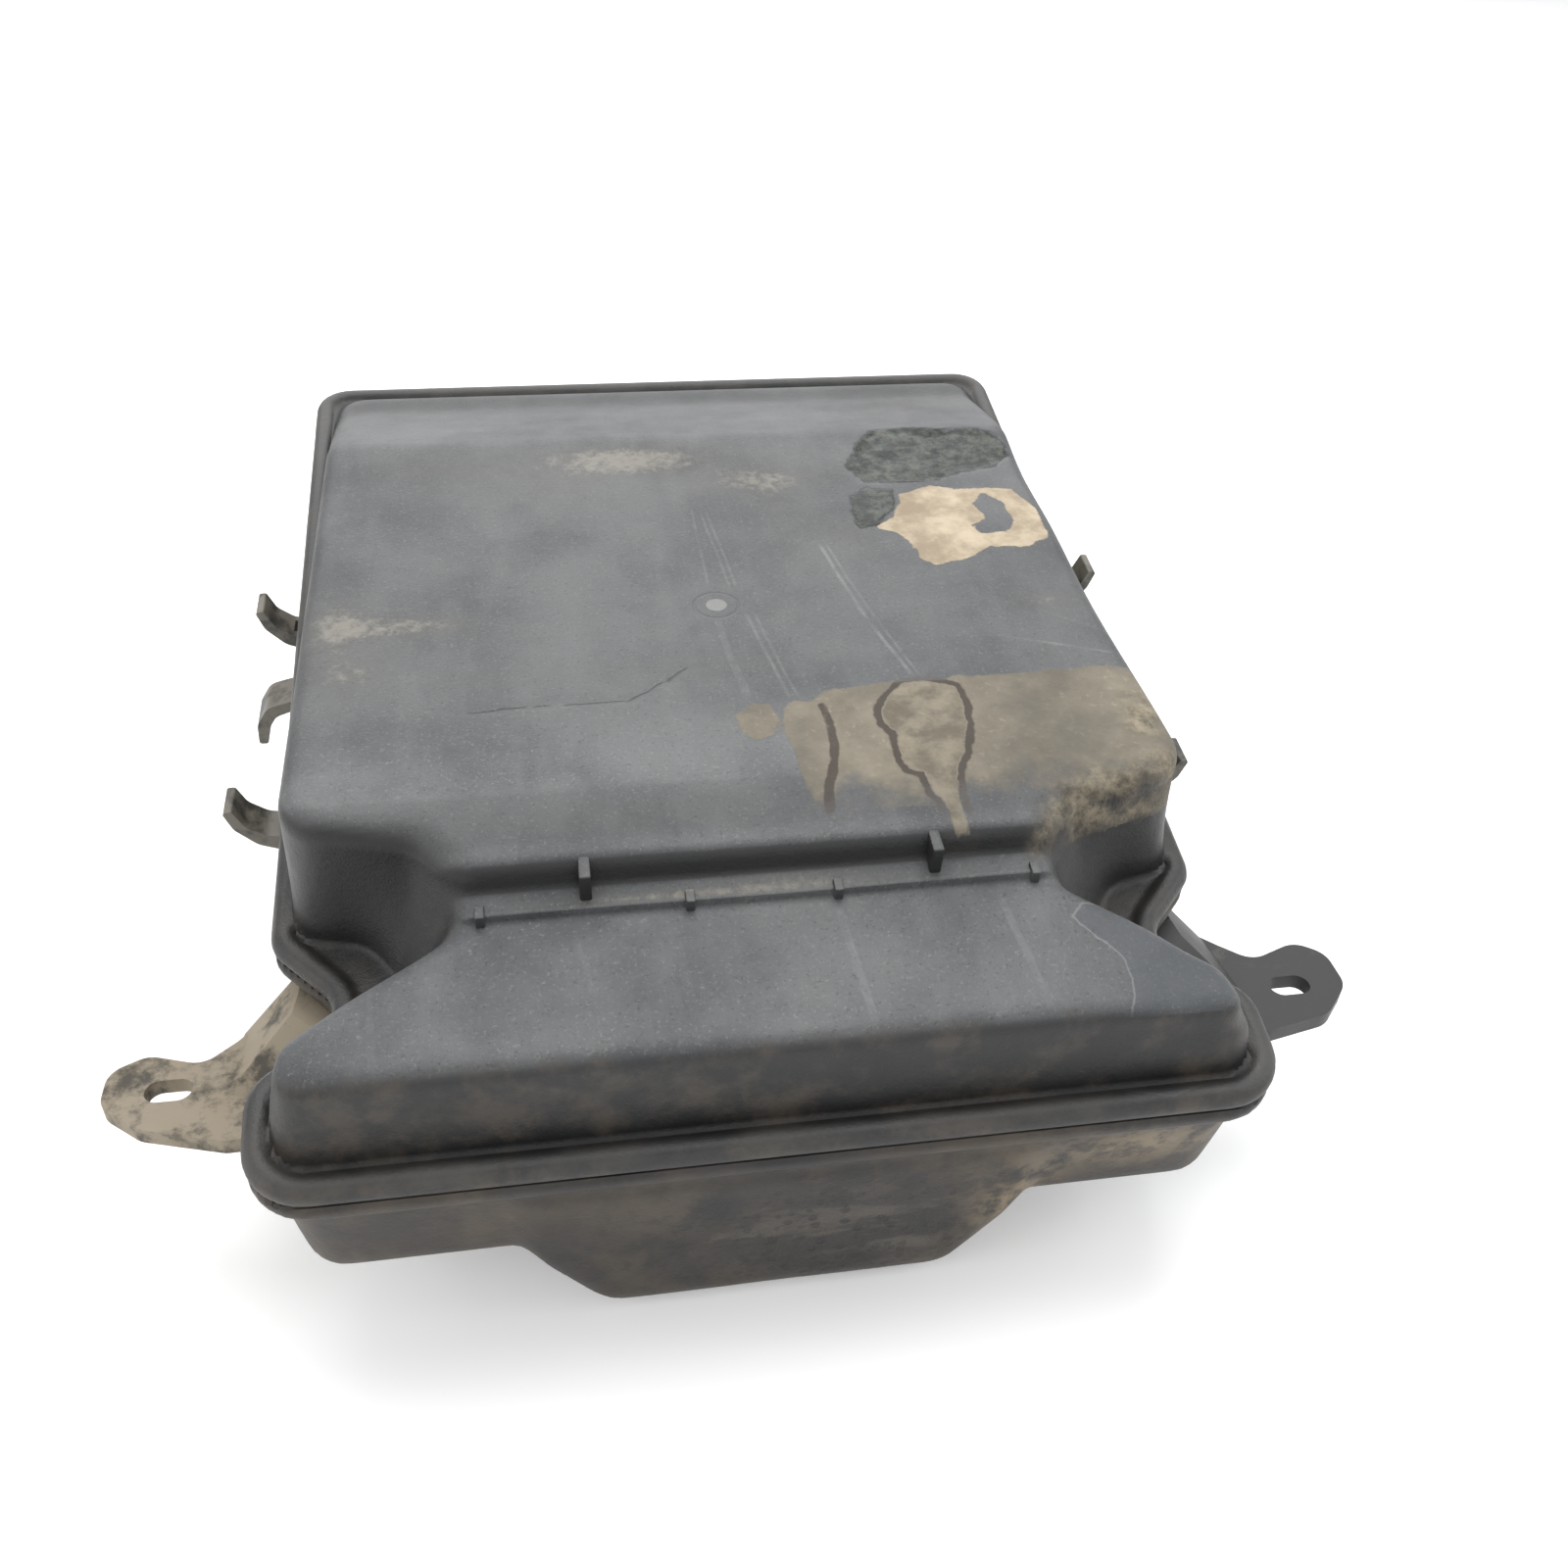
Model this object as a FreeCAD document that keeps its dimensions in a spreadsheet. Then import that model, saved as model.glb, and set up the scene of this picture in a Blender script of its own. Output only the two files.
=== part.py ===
import FreeCAD, Part
import math
import os
import sys

# ---------------------------------------------------------------------------
# Battery box: a deep moulded tray with a lift-off cover, closed along a
# rounded two-part rim that is pitched 8 degrees up towards the back, and the
# battery, hold-down, terminals, fuse holder and rubbers it carries.
#
# Row frame: X across the box, Y from the front shelf to the back, Z up, the
# origin on the standing surface under the middle of the whole part.
# The rim frame is tilted by rim_pitch about X: x across, v along the rim
# towards the back, w square to the rim. Pieces that follow the rim are drawn
# in it and placed with RIM.
# ---------------------------------------------------------------------------

V = FreeCAD.Vector
doc = FreeCAD.newDocument("battery_box")
sheet = doc.addObject("Spreadsheet::Sheet", "dims")

CELLS = [
    # general frame
    ("rim_pitch", 8.0), ("rim_front_y", -22.0), ("rim_front_z", 83.0), ("y_shift", -192.09),
    # rim
    ("rim_half_front", 159.0), ("rim_half_waist", 131.0), ("rim_half_back", 168.0),
    ("rim_front_v", -6.0), ("rim_back_v", 436.0), ("rim_upper", 8.0), ("rim_lower", 8.0),
    ("rim_gap", 0.25), ("wall_thk", 3.0), ("tongue_deep", 7.0), ("tongue_thk", 2.0), ("tongue_gap", 1.45),
    ("seal_wide", 3.4), ("seal_deep", 2.6), ("groove_wide", 4.0), ("groove_deep", 2.8),
    # cover
    ("wall_half_front", 151.5), ("wall_half_back", 159.0), ("wall_front_v", 4.0), ("wall_back_v", 427.0),
    ("crown_half_front", 147.0), ("crown_front_v", 12.0), ("crown_half_back", 151.5), ("crown_back_v", 421.0),
    ("crown_w", 46.0), ("shelf_w", 37.0), ("step_v", 70.0), ("step_top_v", 74.5), ("deck_front_w", 51.5), ("crease_v", 99.0),
    ("crease_w", 54.0), ("back_crease_v", 337.0), ("back_crease_w", 36.0), ("ramp_end_v", 408.0),
    ("ramp_end_w", 9.5), ("cover_draft", 4.5), ("top_round", 6.0), ("lip_v", 64.5), ("lip_tall", 3.6),
    ("step_rib_thk", 4.5), ("lip_tab_thk", 3.6),
    # tray
    ("tub_deep", 56.0), ("tub_draft", 5.0), ("tub_round", 16.0), ("well_half_floor", 59.0),
    ("well_half", 84.0), ("well_slope_z", 31.0), ("well_front_y", -19.0), ("well_back_y", 392.0),
    # ears and hooks
    ("ear_top_z", 68.0), ("ear_thk", 6.0), ("ear_slot_x", 192.0), ("ear_slot_y", 36.0),
    ("ear_slot_half", 4.5), ("ear_slot_long", 15.0), ("hook_wide", 13.0), ("arch_wide", 15.0),
    # battery and its furniture
    ("mat_thk", 4.0), ("mat_half", 50.0), ("batt_half", 43.5), ("batt_long", 150.0), ("batt_tall", 98.0),
    ("batt_front_y", 218.0), ("batt_lid_tall", 12.0), ("post_side", 13.0), ("post_tall", 9.0),
    ("bolt_rad", 3.0), ("bar_thk", 3.0), ("bar_wide", 24.0), ("rod_x", 52.0), ("rod_rad", 3.0),
    ("pad_thk", 5.0), ("cap_thk", 1.6),
    # rubbers in the tray
    ("lead_x", 45.0), ("lead_w", -29.0), ("lead_rad", 9.0), ("lead_bore", 5.0), ("drain_rad", 7.0),
    ("drain_bore", 3.0),
    # fuse holder
    ("fuse_x", 118.0), ("fuse_v", 190.0), ("fuse_long", 62.0), ("fuse_wide", 30.0), ("fuse_base_tall", 12.0),
    ("fuse_lid_tall", 14.0),
]
for i, (name, value) in enumerate(CELLS, 1):
    sheet.set("A%d" % i, name)
    sheet.set("B%d" % i, repr(value))
    sheet.setAlias("B%d" % i, name)
doc.recompute()


def g(name):
    return float(getattr(sheet, name))


PITCH = g("rim_pitch")
SHIFT = V(0, g("y_shift"), 0)
RIM = FreeCAD.Placement(V(0, g("rim_front_y") + g("y_shift"), g("rim_front_z")),
                        FreeCAD.Rotation(V(1, 0, 0), PITCH))
FLAT = FreeCAD.Placement(SHIFT, FreeCAD.Rotation())
COS, SIN = math.cos(math.radians(PITCH)), math.sin(math.radians(PITCH))


# ---------------------------------------------------------------- outlines --
def rounded(points):
    """Edges of a closed polygon of (x, y, corner radius)."""
    n = len(points)
    cut = []
    for i in range(n):
        p0, p1, p2 = points[i - 1], points[i], points[(i + 1) % n]
        a = V(p0[0] - p1[0], p0[1] - p1[1], 0)
        b = V(p2[0] - p1[0], p2[1] - p1[1], 0)
        la, lb = a.Length, b.Length
        a.normalize()
        b.normalize()
        r = p1[2]
        ang = a.getAngle(b)
        c = V(p1[0], p1[1], 0)
        if r <= 0 or abs(ang - math.pi) < 1e-4:
            cut.append((c, None, c))
            continue
        t = r / math.tan(ang / 2)
        t = min(t, 0.49 * la, 0.49 * lb)
        r = t * math.tan(ang / 2)
        s, e = c + a * t, c + b * t
        mid_dir = (a + b)
        mid_dir.normalize()
        m = c + mid_dir * (r / math.sin(ang / 2) - r)
        cut.append((s, m, e))
    edges = []
    for i in range(n):
        s, m, e = cut[i]
        if m is not None:
            edges.append(Part.Arc(s, m, e))
        nxt = cut[(i + 1) % n][0]
        if (nxt - e).Length > 1e-5:
            edges.append(Part.LineSegment(e, nxt))
    return edges


def mirrored(half):
    """A closed outline from its +X half, listed from the front to the back."""
    return list(half) + [(-x, y, r) for x, y, r in reversed(half)]


def inset(points, d):
    """Move every side of a counter-clockwise polygon inwards by d."""
    n = len(points)
    out = []
    for i in range(n):
        x0, y0, _ = points[i - 1]
        x1, y1, r = points[i]
        x2, y2, _ = points[(i + 1) % n]
        ax, ay = x1 - x0, y1 - y0
        bx, by = x2 - x1, y2 - y1
        la, lb = math.hypot(ax, ay), math.hypot(bx, by)
        n1 = (-ay / la, ax / la)
        n2 = (-by / lb, bx / lb)
        k = 1.0 + n1[0] * n2[0] + n1[1] * n2[1]
        ox, oy = (n1[0] + n2[0]) / k * d, (n1[1] + n2[1]) / k * d
        cross = ax * by - ay * bx
        rr = max(r - d, 0.8) if cross > 0 else r + d
        out.append((x1 + ox, y1 + oy, rr if r > 0 else 0))
    return out


RIM_OUT = mirrored([
    (g("rim_half_front"), g("rim_front_v"), 26), (161.0, 34, 16), (g("rim_half_waist"), 58, 13),
    (158.5, 87, 14), (162.5, 220, 0), (g("rim_half_back"), g("rim_back_v"), 16)])
WALL = mirrored([
    (g("wall_half_front"), g("wall_front_v"), 18), (g("wall_half_front"), 31, 14), (119, 64, 11),
    (128, 84, 12), (152.5, 89, 12), (155.0, 220, 0), (g("wall_half_back"), g("wall_back_v"), 14)])
# the same outline at the level of the deck: the walls lean in and the waist is scooped out
CROWN = mirrored([
    (g("crown_half_front"), g("crown_front_v"), 7), (g("crown_half_front"), 26, 11), (88, 66, 12),
    (108, 87, 14), (150, 96, 18), (151.0, 220, 0), (g("crown_half_back"), g("crown_back_v"), 14)])
THK = g("wall_thk")


def plane(body, role):
    for f in body.Origin.OriginFeatures:
        if f.Role == role:
            return f


def new_body(name, place=None):
    b = doc.addObject("PartDesign::Body", name)
    b.Label = name
    if place is not None:
        b.Placement = place
    return b


def sketch(body, name, edges, role="XY_Plane", offset=0.0, rot=None):
    s = body.newObject("Sketcher::SketchObject", name)
    s.AttachmentSupport = [(plane(body, role), "")]
    s.MapMode = "FlatFace"
    s.AttachmentOffset = FreeCAD.Placement(V(0, 0, offset), rot or FreeCAD.Rotation())
    s.addGeometry(edges, False)
    return s


def circle(x, y, r):
    return Part.Circle(V(x, y, 0), V(0, 0, 1), r)


def rect(x0, y0, x1, y1, r=0.0):
    return rounded([(x0, y0, r), (x1, y0, r), (x1, y1, r), (x0, y1, r)])


def pad(body, name, sk, length, reverse=False, taper=None, mid=False):
    p = body.newObject("PartDesign::Pad", name)
    p.Profile = sk
    p.Reversed = reverse
    if mid:
        p.Midplane = True
    if isinstance(length, str):
        p.setExpression("Length", length)
    else:
        p.Length = length
    if taper is not None:
        p.TaperAngle = taper
    doc.recompute()
    return p


def pocket(body, name, sk, length, reverse=False, mid=False):
    before = body.Shape.Volume
    p = body.newObject("PartDesign::Pocket", name)
    p.Profile = sk
    p.Reversed = reverse
    if mid:
        p.Midplane = True
    if isinstance(length, str):
        p.setExpression("Length", length)
    else:
        p.Length = length
    doc.recompute()
    if not body.Shape.Volume < before - 1e-3:
        p.Reversed = not reverse
        doc.recompute()
    if not body.Shape.Volume < before - 1e-3:
        raise RuntimeError("pocket %s cuts nothing" % name)
    return p


def fillet(body, name, pick, radii):
    """Fillet the edges of the body's tip that pick() accepts, at the first radius that works."""
    base = body.Tip
    names = ["Edge%d" % (i + 1) for i, e in enumerate(base.Shape.Edges) if pick(e)]
    if not names:
        print("no edges for", name)
        return None
    vol = base.Shape.Volume
    for r in radii:
        f = body.newObject("PartDesign::Fillet", name)
        f.Base = (base, names)
        f.Radius = r
        doc.recompute()
        ok = "Invalid" not in f.State and "Error" not in f.State and not f.Shape.isNull() and f.Shape.isValid() \
            and len(f.Shape.Solids) == 1 and 0.8 * vol < f.Shape.Volume < 1.2 * vol
        if ok:
            print("fillet", name, "r", r, len(names), "edges")
            return f
        body.removeObject(f)
        doc.removeObject(f.Name)
        body.Tip = base
        doc.recompute()
    print("fillet", name, "left sharp")
    return None


def cut(name, a, b):
    c = doc.addObject("Part::Cut", name)
    c.Base, c.Tool = a, b
    c.Label = name
    doc.recompute()
    return c


def fuse(name, items):
    c = doc.addObject("Part::MultiFuse", name)
    c.Shapes = items
    c.Label = name
    doc.recompute()
    return c


def common(name, a, b):
    c = doc.addObject("Part::MultiCommon", name)
    c.Shapes = [a, b]
    c.Label = name
    doc.recompute()
    return c


def compound(name, items):
    c = doc.addObject("Part::Compound", name)
    c.Links = items
    c.Label = name
    doc.recompute()
    return c


def cyl(name, r, h, pos, axis=V(0, 0, 1), base=None):
    c = doc.addObject("Part::Cylinder", name)
    if isinstance(r, str):
        c.setExpression("Radius", r)
    else:
        c.Radius = r
    if isinstance(h, str):
        c.setExpression("Height", h)
    else:
        c.Height = h
    pl = FreeCAD.Placement(pos, FreeCAD.Rotation(V(0, 0, 1), axis))
    c.Placement = (base or FLAT).multiply(pl)
    return c


def box(name, lo, hi, base=None):
    c = doc.addObject("Part::Box", name)
    c.Length, c.Width, c.Height = hi[0] - lo[0], hi[1] - lo[1], hi[2] - lo[2]
    c.Placement = (base or FLAT).multiply(FreeCAD.Placement(V(*lo), FreeCAD.Rotation()))
    return c


NODES = {}


def keep(name, obj):
    obj.Label = name
    NODES[name] = obj


# ------------------------------------------------------------------- cover --
def top_profile(drop, front):
    """The region above the cover's top, in (v, w), to be cut away; drop moves it down by a wall."""
    d = drop
    pts = [(front - 60, g("shelf_w") - d, 0), (g("step_v") + d, g("shelf_w") - d, 0),
           (g("step_top_v") + d, g("deck_front_w") - d, 0), (g("crease_v"), g("crease_w") - d, 0),
           (g("back_crease_v") - d * 0.2, g("back_crease_w") - d, 0),
           (g("ramp_end_v") - d * 0.3, g("ramp_end_w") - d, 0), (g("wall_back_v") + 60, g("ramp_end_w") - d, 0),
           (g("wall_back_v") + 60, 130, 0), (front - 60, 130, 0)]
    return pts


def cover_form(name, off, drop, radii):
    """Solid block of the cover: tapered wall outline under the stepped top."""
    b = new_body(name, RIM)
    s1 = sketch(b, name + "_foot", rounded(inset(WALL, off) if off else WALL))
    s2 = sketch(b, name + "_crown", rounded(inset(CROWN, off) if off else CROWN), offset=g("crown_w"))
    s3 = None
    loft = b.newObject("PartDesign::AdditiveLoft", name + "_walls")
    loft.Profile = s1
    loft.Sections = [s2]
    loft.Ruled = True
    doc.recompute()
    s3 = sketch(b, name + "_head", rounded(inset(CROWN, off) if off else CROWN), offset=g("crown_w"))
    pad(b, name + "_head_block", s3, 16.0)
    # YZ_Plane sketches have their x along the body's Y and their y along its Z
    prof = sketch(b, name + "_side", rounded(top_profile(drop, 0)), "YZ_Plane")
    pocket(b, name + "_top", prof, 500.0, mid=True)
    return b


outer = cover_form("cover_outer_form", 0, 0, None)


# edges are read in the rim frame, which is the body's own
def top_edge_local(e):
    pts = [v.Point for v in e.Vertexes]
    if len(pts) < 2:
        return False
    w = [p.z for p in pts]
    v = [p.y for p in pts]
    if min(w) < 20 or max(w) > 61:
        return False
    if abs(v[0] - v[1]) < 0.5 and abs(pts[0].x - pts[1].x) > 60:
        # a line right across: round the step's crest and nothing else here
        return abs(v[0] - g("step_top_v")) < 1.0
    steep = abs(w[0] - w[1]) > 0.8 * (pts[0] - pts[1]).Length
    return not steep


fillet(outer, "cover_top_round", top_edge_local, [g("top_round"), 5.0, 4.0, 3.0])
fillet(outer, "cover_step_foot", lambda e: len(e.Vertexes) > 1 and all(
    abs(v.Point.y - g("step_v")) < 1.5 and abs(v.Point.z - g("shelf_w")) < 1.5 for v in e.Vertexes),
    [4.0, 3.0, 2.0])
inner = cover_form("cover_inner_form", THK, THK, None)

# upper half of the rim: flat ring with a rounded outer edge
ring = new_body("cover_rim_ring", RIM)
sk = sketch(ring, "cover_rim_plan", rounded(RIM_OUT), offset=g("rim_gap"))
pad(ring, "cover_rim_pad", sk, g("rim_upper") - g("rim_gap"))


def rim_edge(level):
    """Picks the outer edges of the rim at one height."""
    wire = Part.Wire([x.toShape() for x in rounded(RIM_OUT)])
    wire.translate(V(0, 0, level))

    def pick(e):
        if abs(e.BoundBox.ZMin - level) > 0.05 or abs(e.BoundBox.ZMax - level) > 0.05:
            return False
        mid = e.valueAt((e.FirstParameter + e.LastParameter) / 2)
        return Part.Vertex(mid).distToShape(wire)[0] < 0.05
    return pick


fillet(ring, "cover_rim_round", rim_edge(g("rim_upper")), [4.0, 3.0, 2.0])

# the inside is hollowed out of walls and rim together
shell = cut("cover_shell", fuse("cover_outside", [outer, ring]), inner)

# locating tongue that drops inside the tray's mouth
tongue = new_body("cover_tongue", RIM)
t0 = THK + g("tongue_gap")
sk = sketch(tongue, "cover_tongue_plan",
            rounded(inset(WALL, t0)) + rounded(inset(WALL, t0 + g("tongue_thk"))), offset=-g("tongue_deep"))
pad(tongue, "cover_tongue_pad", sk, g("tongue_deep") + 3.2)
# a narrow flange ties it to the foot of the wall
flange = new_body("cover_tongue_flange", RIM)
sk = sketch(flange, "cover_tongue_flange_plan",
            rounded(inset(WALL, 2.5)) + rounded(inset(WALL, t0 + g("tongue_thk"))), offset=0.4)
pad(flange, "cover_tongue_flange_pad", sk, 2.8)

# small square tabs along the lip, two taller ribs on the step, and the lip itself
extra = []
lip = new_body("cover_lip", RIM)
sk = sketch(lip, "cover_lip_side", rounded([
    (g("lip_v"), g("shelf_w") - 2, 0), (g("step_v") + 4, g("shelf_w") - 2, 0),
    (g("step_v") + 4, g("shelf_w") + g("lip_tall"), 0), (g("lip_v") + 0.8, g("shelf_w") + g("lip_tall"), 1.2)]),
    "YZ_Plane")
pad(lip, "cover_lip_pad", sk, 2 * 92.0, mid=True)
extra.append(lip)
ribs = new_body("cover_step_ribs", RIM)
skl = []
for x in (-55.5, 55.5):
    t = g("step_rib_thk") / 2
    skl += rect(x - t, g("lip_v") + 1.6, x + t, g("step_top_v") + 3)
sk = sketch(ribs, "cover_step_rib_plan", skl, offset=g("shelf_w") + 1)
pad(ribs, "cover_step_rib_pad", sk, g("deck_front_w") - g("shelf_w") - 1.6)
extra.append(ribs)
tabs = new_body("cover_lip_tabs", RIM)
skl = []
for x in (-88.0, -23.5, 23.5, 88.0):
    t = g("lip_tab_thk") / 2
    skl += rect(x - t, g("lip_v") - 3.0, x + t, g("lip_v") + 4)
sk = sketch(tabs, "cover_lip_tab_plan", skl, offset=g("shelf_w") - 1)
pad(tabs, "cover_lip_tab_pad", sk, g("lip_tall") + 2.2)
extra.append(tabs)
# round sprue boss near the middle of the deck
sprue = cyl("cover_sprue", 9.0, 2.2, V(1, 205, 44.4), base=RIM)
extra.append(sprue)
cover = fuse("upper_cover", [shell, flange, tongue] + extra)
keep("upper_cover", cover)

# -------------------------------------------------------------------- tray --
# the tub fills nearly the whole width under the rim, so its front is fuller than the cover's
TUB = mirrored([(154.5, -1.5, 20), (156.0, 33, 15), (126, 60, 12), (153.0, 87, 12), (155.5, 220, 0),
                (g("wall_half_back") - 0.5, g("wall_back_v") - 0.5, 14)])


def tub_form(name, off, deep, rad):
    b = new_body(name, RIM)
    sk = sketch(b, name + "_plan", rounded(inset(TUB, off)) if off else rounded(TUB), offset=0.0)
    pad(b, name + "_block", sk, deep, reverse=True, taper=-g("tub_draft"))
    low = b.Tip.Shape.BoundBox.ZMin
    fillet(b, name + "_round", lambda e: abs(e.BoundBox.ZMin - low) < 0.1 and abs(e.BoundBox.ZMax - low) < 0.1, rad)
    return b


def well_form(name, off):
    b = new_body(name, FLAT)
    hf, hw, sz = g("well_half_floor") - off * 0.55, g("well_half") - off, g("well_slope_z") + off * 0.2
    pts = [(hf, off, 10), (hw, sz, 12), (hw, 160, 0), (-hw, 160, 0), (-hw, sz, 12), (-hf, off, 10)]
    # XZ_Plane sketches face -Y, so the pad is reversed to run to the back
    sk = sketch(b, name + "_front", rounded(pts), "XZ_Plane", offset=-(g("well_front_y") + off))
    pad(b, name + "_run", sk, g("well_back_y") - g("well_front_y") - 2 * off, reverse=True)
    return b


tub_o = tub_form("tub_outer_form", 0, g("tub_deep") + g("rim_lower"), [g("tub_round"), 10.0, 8.0, 6.0])
tub_i = tub_form("tub_inner_form", THK, g("tub_deep") + g("rim_lower") - THK, [g("tub_round") - THK, 8.0, 6.0, 4.0])
well_o_raw = well_form("well_outer_run", 0)
well_i_raw = well_form("well_inner_run", THK)
fillet(well_o_raw, "well_end_round", lambda e: len(e.Vertexes) > 1
       and abs(e.Vertexes[0].Point.y - e.Vertexes[1].Point.y) < 0.01
       and e.BoundBox.ZMax < 155, [6.0, 4.0, 3.0])
above = box("above_rim", (-300, -100, -22), (300, 700, 300), RIM)
above_i = box("above_rim_inner", (-300, -100, -20), (300, 700, 300), RIM)
well_o = cut("well_outer_form", well_o_raw, above)
well_i = cut("well_inner_form", well_i_raw, above_i)
tray_o = fuse("tray_outer_form", [tub_o, well_o])
tray_i = fuse("tray_inner_form", [tub_i, well_i])
tray_shell = cut("tray_shell", tray_o, tray_i)
tring = new_body("tray_rim_ring", RIM)
sk = sketch(tring, "tray_rim_plan", rounded(RIM_OUT) + rounded(inset(WALL, THK)), offset=-g("rim_lower"))
pad(tring, "tray_rim_pad", sk, "dims.rim_lower")
groove = sketch(tring, "tray_seal_groove_plan", rounded(inset(RIM_OUT, 3.0)) + rounded(inset(RIM_OUT, 3.0 + g("groove_wide"))))
pocket(tring, "tray_seal_groove", groove, "dims.groove_deep")
fillet(tring, "tray_rim_round", rim_edge(-g("rim_lower")), [4.0, 3.0, 2.0])

# sockets for the hold-down rods, on the well floor, and seats for the battery mat
mid_y = g("batt_front_y") + g("batt_long") / 2
rod_sockets = []
for side, x in (("right", g("rod_x")), ("left", -g("rod_x"))):
    s = cyl("rod_socket_" + side, 5.4, 26.0, V(x, mid_y, 2.0))
    rod_sockets.append(s)
mat_ribs = [box("mat_rib_front", (-40, g("batt_front_y") - 6.5, 2.0), (40, g("batt_front_y") - 3.5, 16.0)),
            box("mat_rib_back", (-40, g("batt_front_y") + g("batt_long") + 3.5, 2.0),
                (40, g("batt_front_y") + g("batt_long") + 6.5, 16.0))]
fuse_posts = [cyl("fuse_post_%d" % i, 4.0, 17.0, V(g("fuse_x"), g("fuse_v") + dv, -62.0), base=RIM)
              for i, dv in enumerate((-20, 20))]
tray_body = fuse("tray_body", [tray_shell, tring] + rod_sockets + mat_ribs + fuse_posts)
holes = []
for side, x in (("right", g("rod_x")), ("left", -g("rod_x"))):
    holes.append(cyl("rod_hole_" + side, 3.0, 30.0, V(x, mid_y, 6.0)))
for side, x in (("right", g("lead_x")), ("left", -g("lead_x"))):
    holes.append(cyl("lead_hole_" + side, "dims.lead_rad", 60.0, V(x, 395, g("lead_w")), V(0, 1, 0), RIM))
drain_y = 40.0
holes.append(cyl("drain_hole", "dims.drain_rad", 20.0, V(0, drain_y, -5)))
hole_set = compound("tray_holes", holes)
tray = cut("lower_tray", tray_body, hole_set)
keep("lower_tray", tray)

# --------------------------------------------------------------- perimeter --
seal = new_body("perimeter_seal", RIM)
side_gap = (g("groove_wide") - g("seal_wide")) / 2
sk = sketch(seal, "seal_plan", rounded(inset(RIM_OUT, 3.0 + side_gap)) +
            rounded(inset(RIM_OUT, 3.0 + g("groove_wide") - side_gap)), offset=-g("groove_deep"))
pad(seal, "seal_pad", sk, "dims.seal_deep")
keep("perimeter_seal", seal)

# -------------------------------------------------------------------- ears --
for side, k in (("left", -1), ("right", 1)):
    raw = new_body("ear_plate_" + side, FLAT)
    if k > 0:
        outline = [(138, 18, 0), (176, 16, 10), (200, 21, 11), (212.5, 34, 10), (212.5, 50, 9), (203, 57, 9),
                   (184, 50, 9), (174, 59, 11), (160, 73, 4), (138, 73, 0)]
    else:
        outline = [(138, 14, 0), (172, 13, 8), (199, 21, 10), (212.5, 32, 8), (212.5, 46, 8), (201, 52, 8),
                   (183, 46, 8), (173, 55, 10), (160, 72, 4), (138, 72, 0)]
        outline = [(-x, y, r) for x, y, r in reversed(outline)]
    sk = sketch(raw, "ear_plan_" + side, rounded(outline), offset=g("ear_top_z") - g("ear_thk"))
    pad(raw, "ear_pad_" + side, sk, "dims.ear_thk")
    r = g("ear_slot_half")
    h = g("ear_slot_long") / 2 - r
    cx, cy = k * g("ear_slot_x"), g("ear_slot_y")
    slot = [Part.LineSegment(V(cx - h, cy - r, 0), V(cx + h, cy - r, 0)),
            Part.Arc(V(cx + h, cy - r, 0), V(cx + h + r, cy, 0), V(cx + h, cy + r, 0)),
            Part.LineSegment(V(cx + h, cy + r, 0), V(cx - h, cy + r, 0)),
            Part.Arc(V(cx - h, cy + r, 0), V(cx - h - r, cy, 0), V(cx - h, cy - r, 0))]
    sks = sketch(raw, "ear_slot_" + side, slot, offset=g("ear_top_z"))
    pocket(raw, "ear_slot_cut_" + side, sks, g("ear_thk") + 1)
    web = new_body("ear_web_" + side, FLAT)
    lo = [(138, 17, 0), (176, 30, 0), (172, 60, 0), (138, 74, 0)]
    hi = [(138, 40, 0), (151, 50, 0), (151, 68, 0), (138, 72, 0)]
    if k < 0:
        lo = [(-x, y, r) for x, y, r in reversed(lo)]
        hi = [(-x, y, r) for x, y, r in reversed(hi)]
    s1 = sketch(web, "ear_web_low_" + side, rounded(lo), offset=g("ear_top_z") - 2)
    s2 = sketch(web, "ear_web_high_" + side, rounded(hi), offset=86.0)
    loft = web.newObject("PartDesign::AdditiveLoft", "ear_web_loft_" + side)
    loft.Profile = s1
    loft.Sections = [s2]
    loft.Ruled = True
    doc.recompute()
    blank = fuse("ear_blank_" + side, [raw, web])
    under = box("ear_rim_clear_" + side, (-300, -60, -g("rim_lower")), (300, 500, 200), RIM)
    trimmed = cut("ear_under_rim_" + side, blank, under)
    ear = cut("mounting_ear_" + side, trimmed, tray_o)
    keep("mounting_ear_" + side, ear)

# ------------------------------------------------------------------- hooks --
CRADLE = [(148, -28, 0), (163, -25.5, 8), (174, -20.5, 8), (181, -12, 8), (183.5, -3, 1.2), (180.0, -2.6, 1.2),
          (177, -10.5, 6), (170.5, -16, 7), (162, -17.6, 7), (148, -16, 0)]
ARCH = [(148, -13.8, 0), (165, -13.8, 6), (173, -17, 6), (177, -23.5, 6), (178.4, -31, 1.2), (182, -31, 1.2),
        (181, -21, 8), (175.5, -12, 8), (166, -9.3, 8), (148, -9.0, 0)]
HOOKS = {"left": [("rear", CRADLE, 281.0, "hook_wide"), ("middle", ARCH, 232.0, "arch_wide"),
                  ("front", CRADLE, 165.0, "hook_wide")],
         "right": [("rear", CRADLE, 281.0, "hook_wide"), ("middle", ARCH, 232.0, "arch_wide"),
                   ("front", CRADLE, 158.0, "hook_wide")]}
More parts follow.
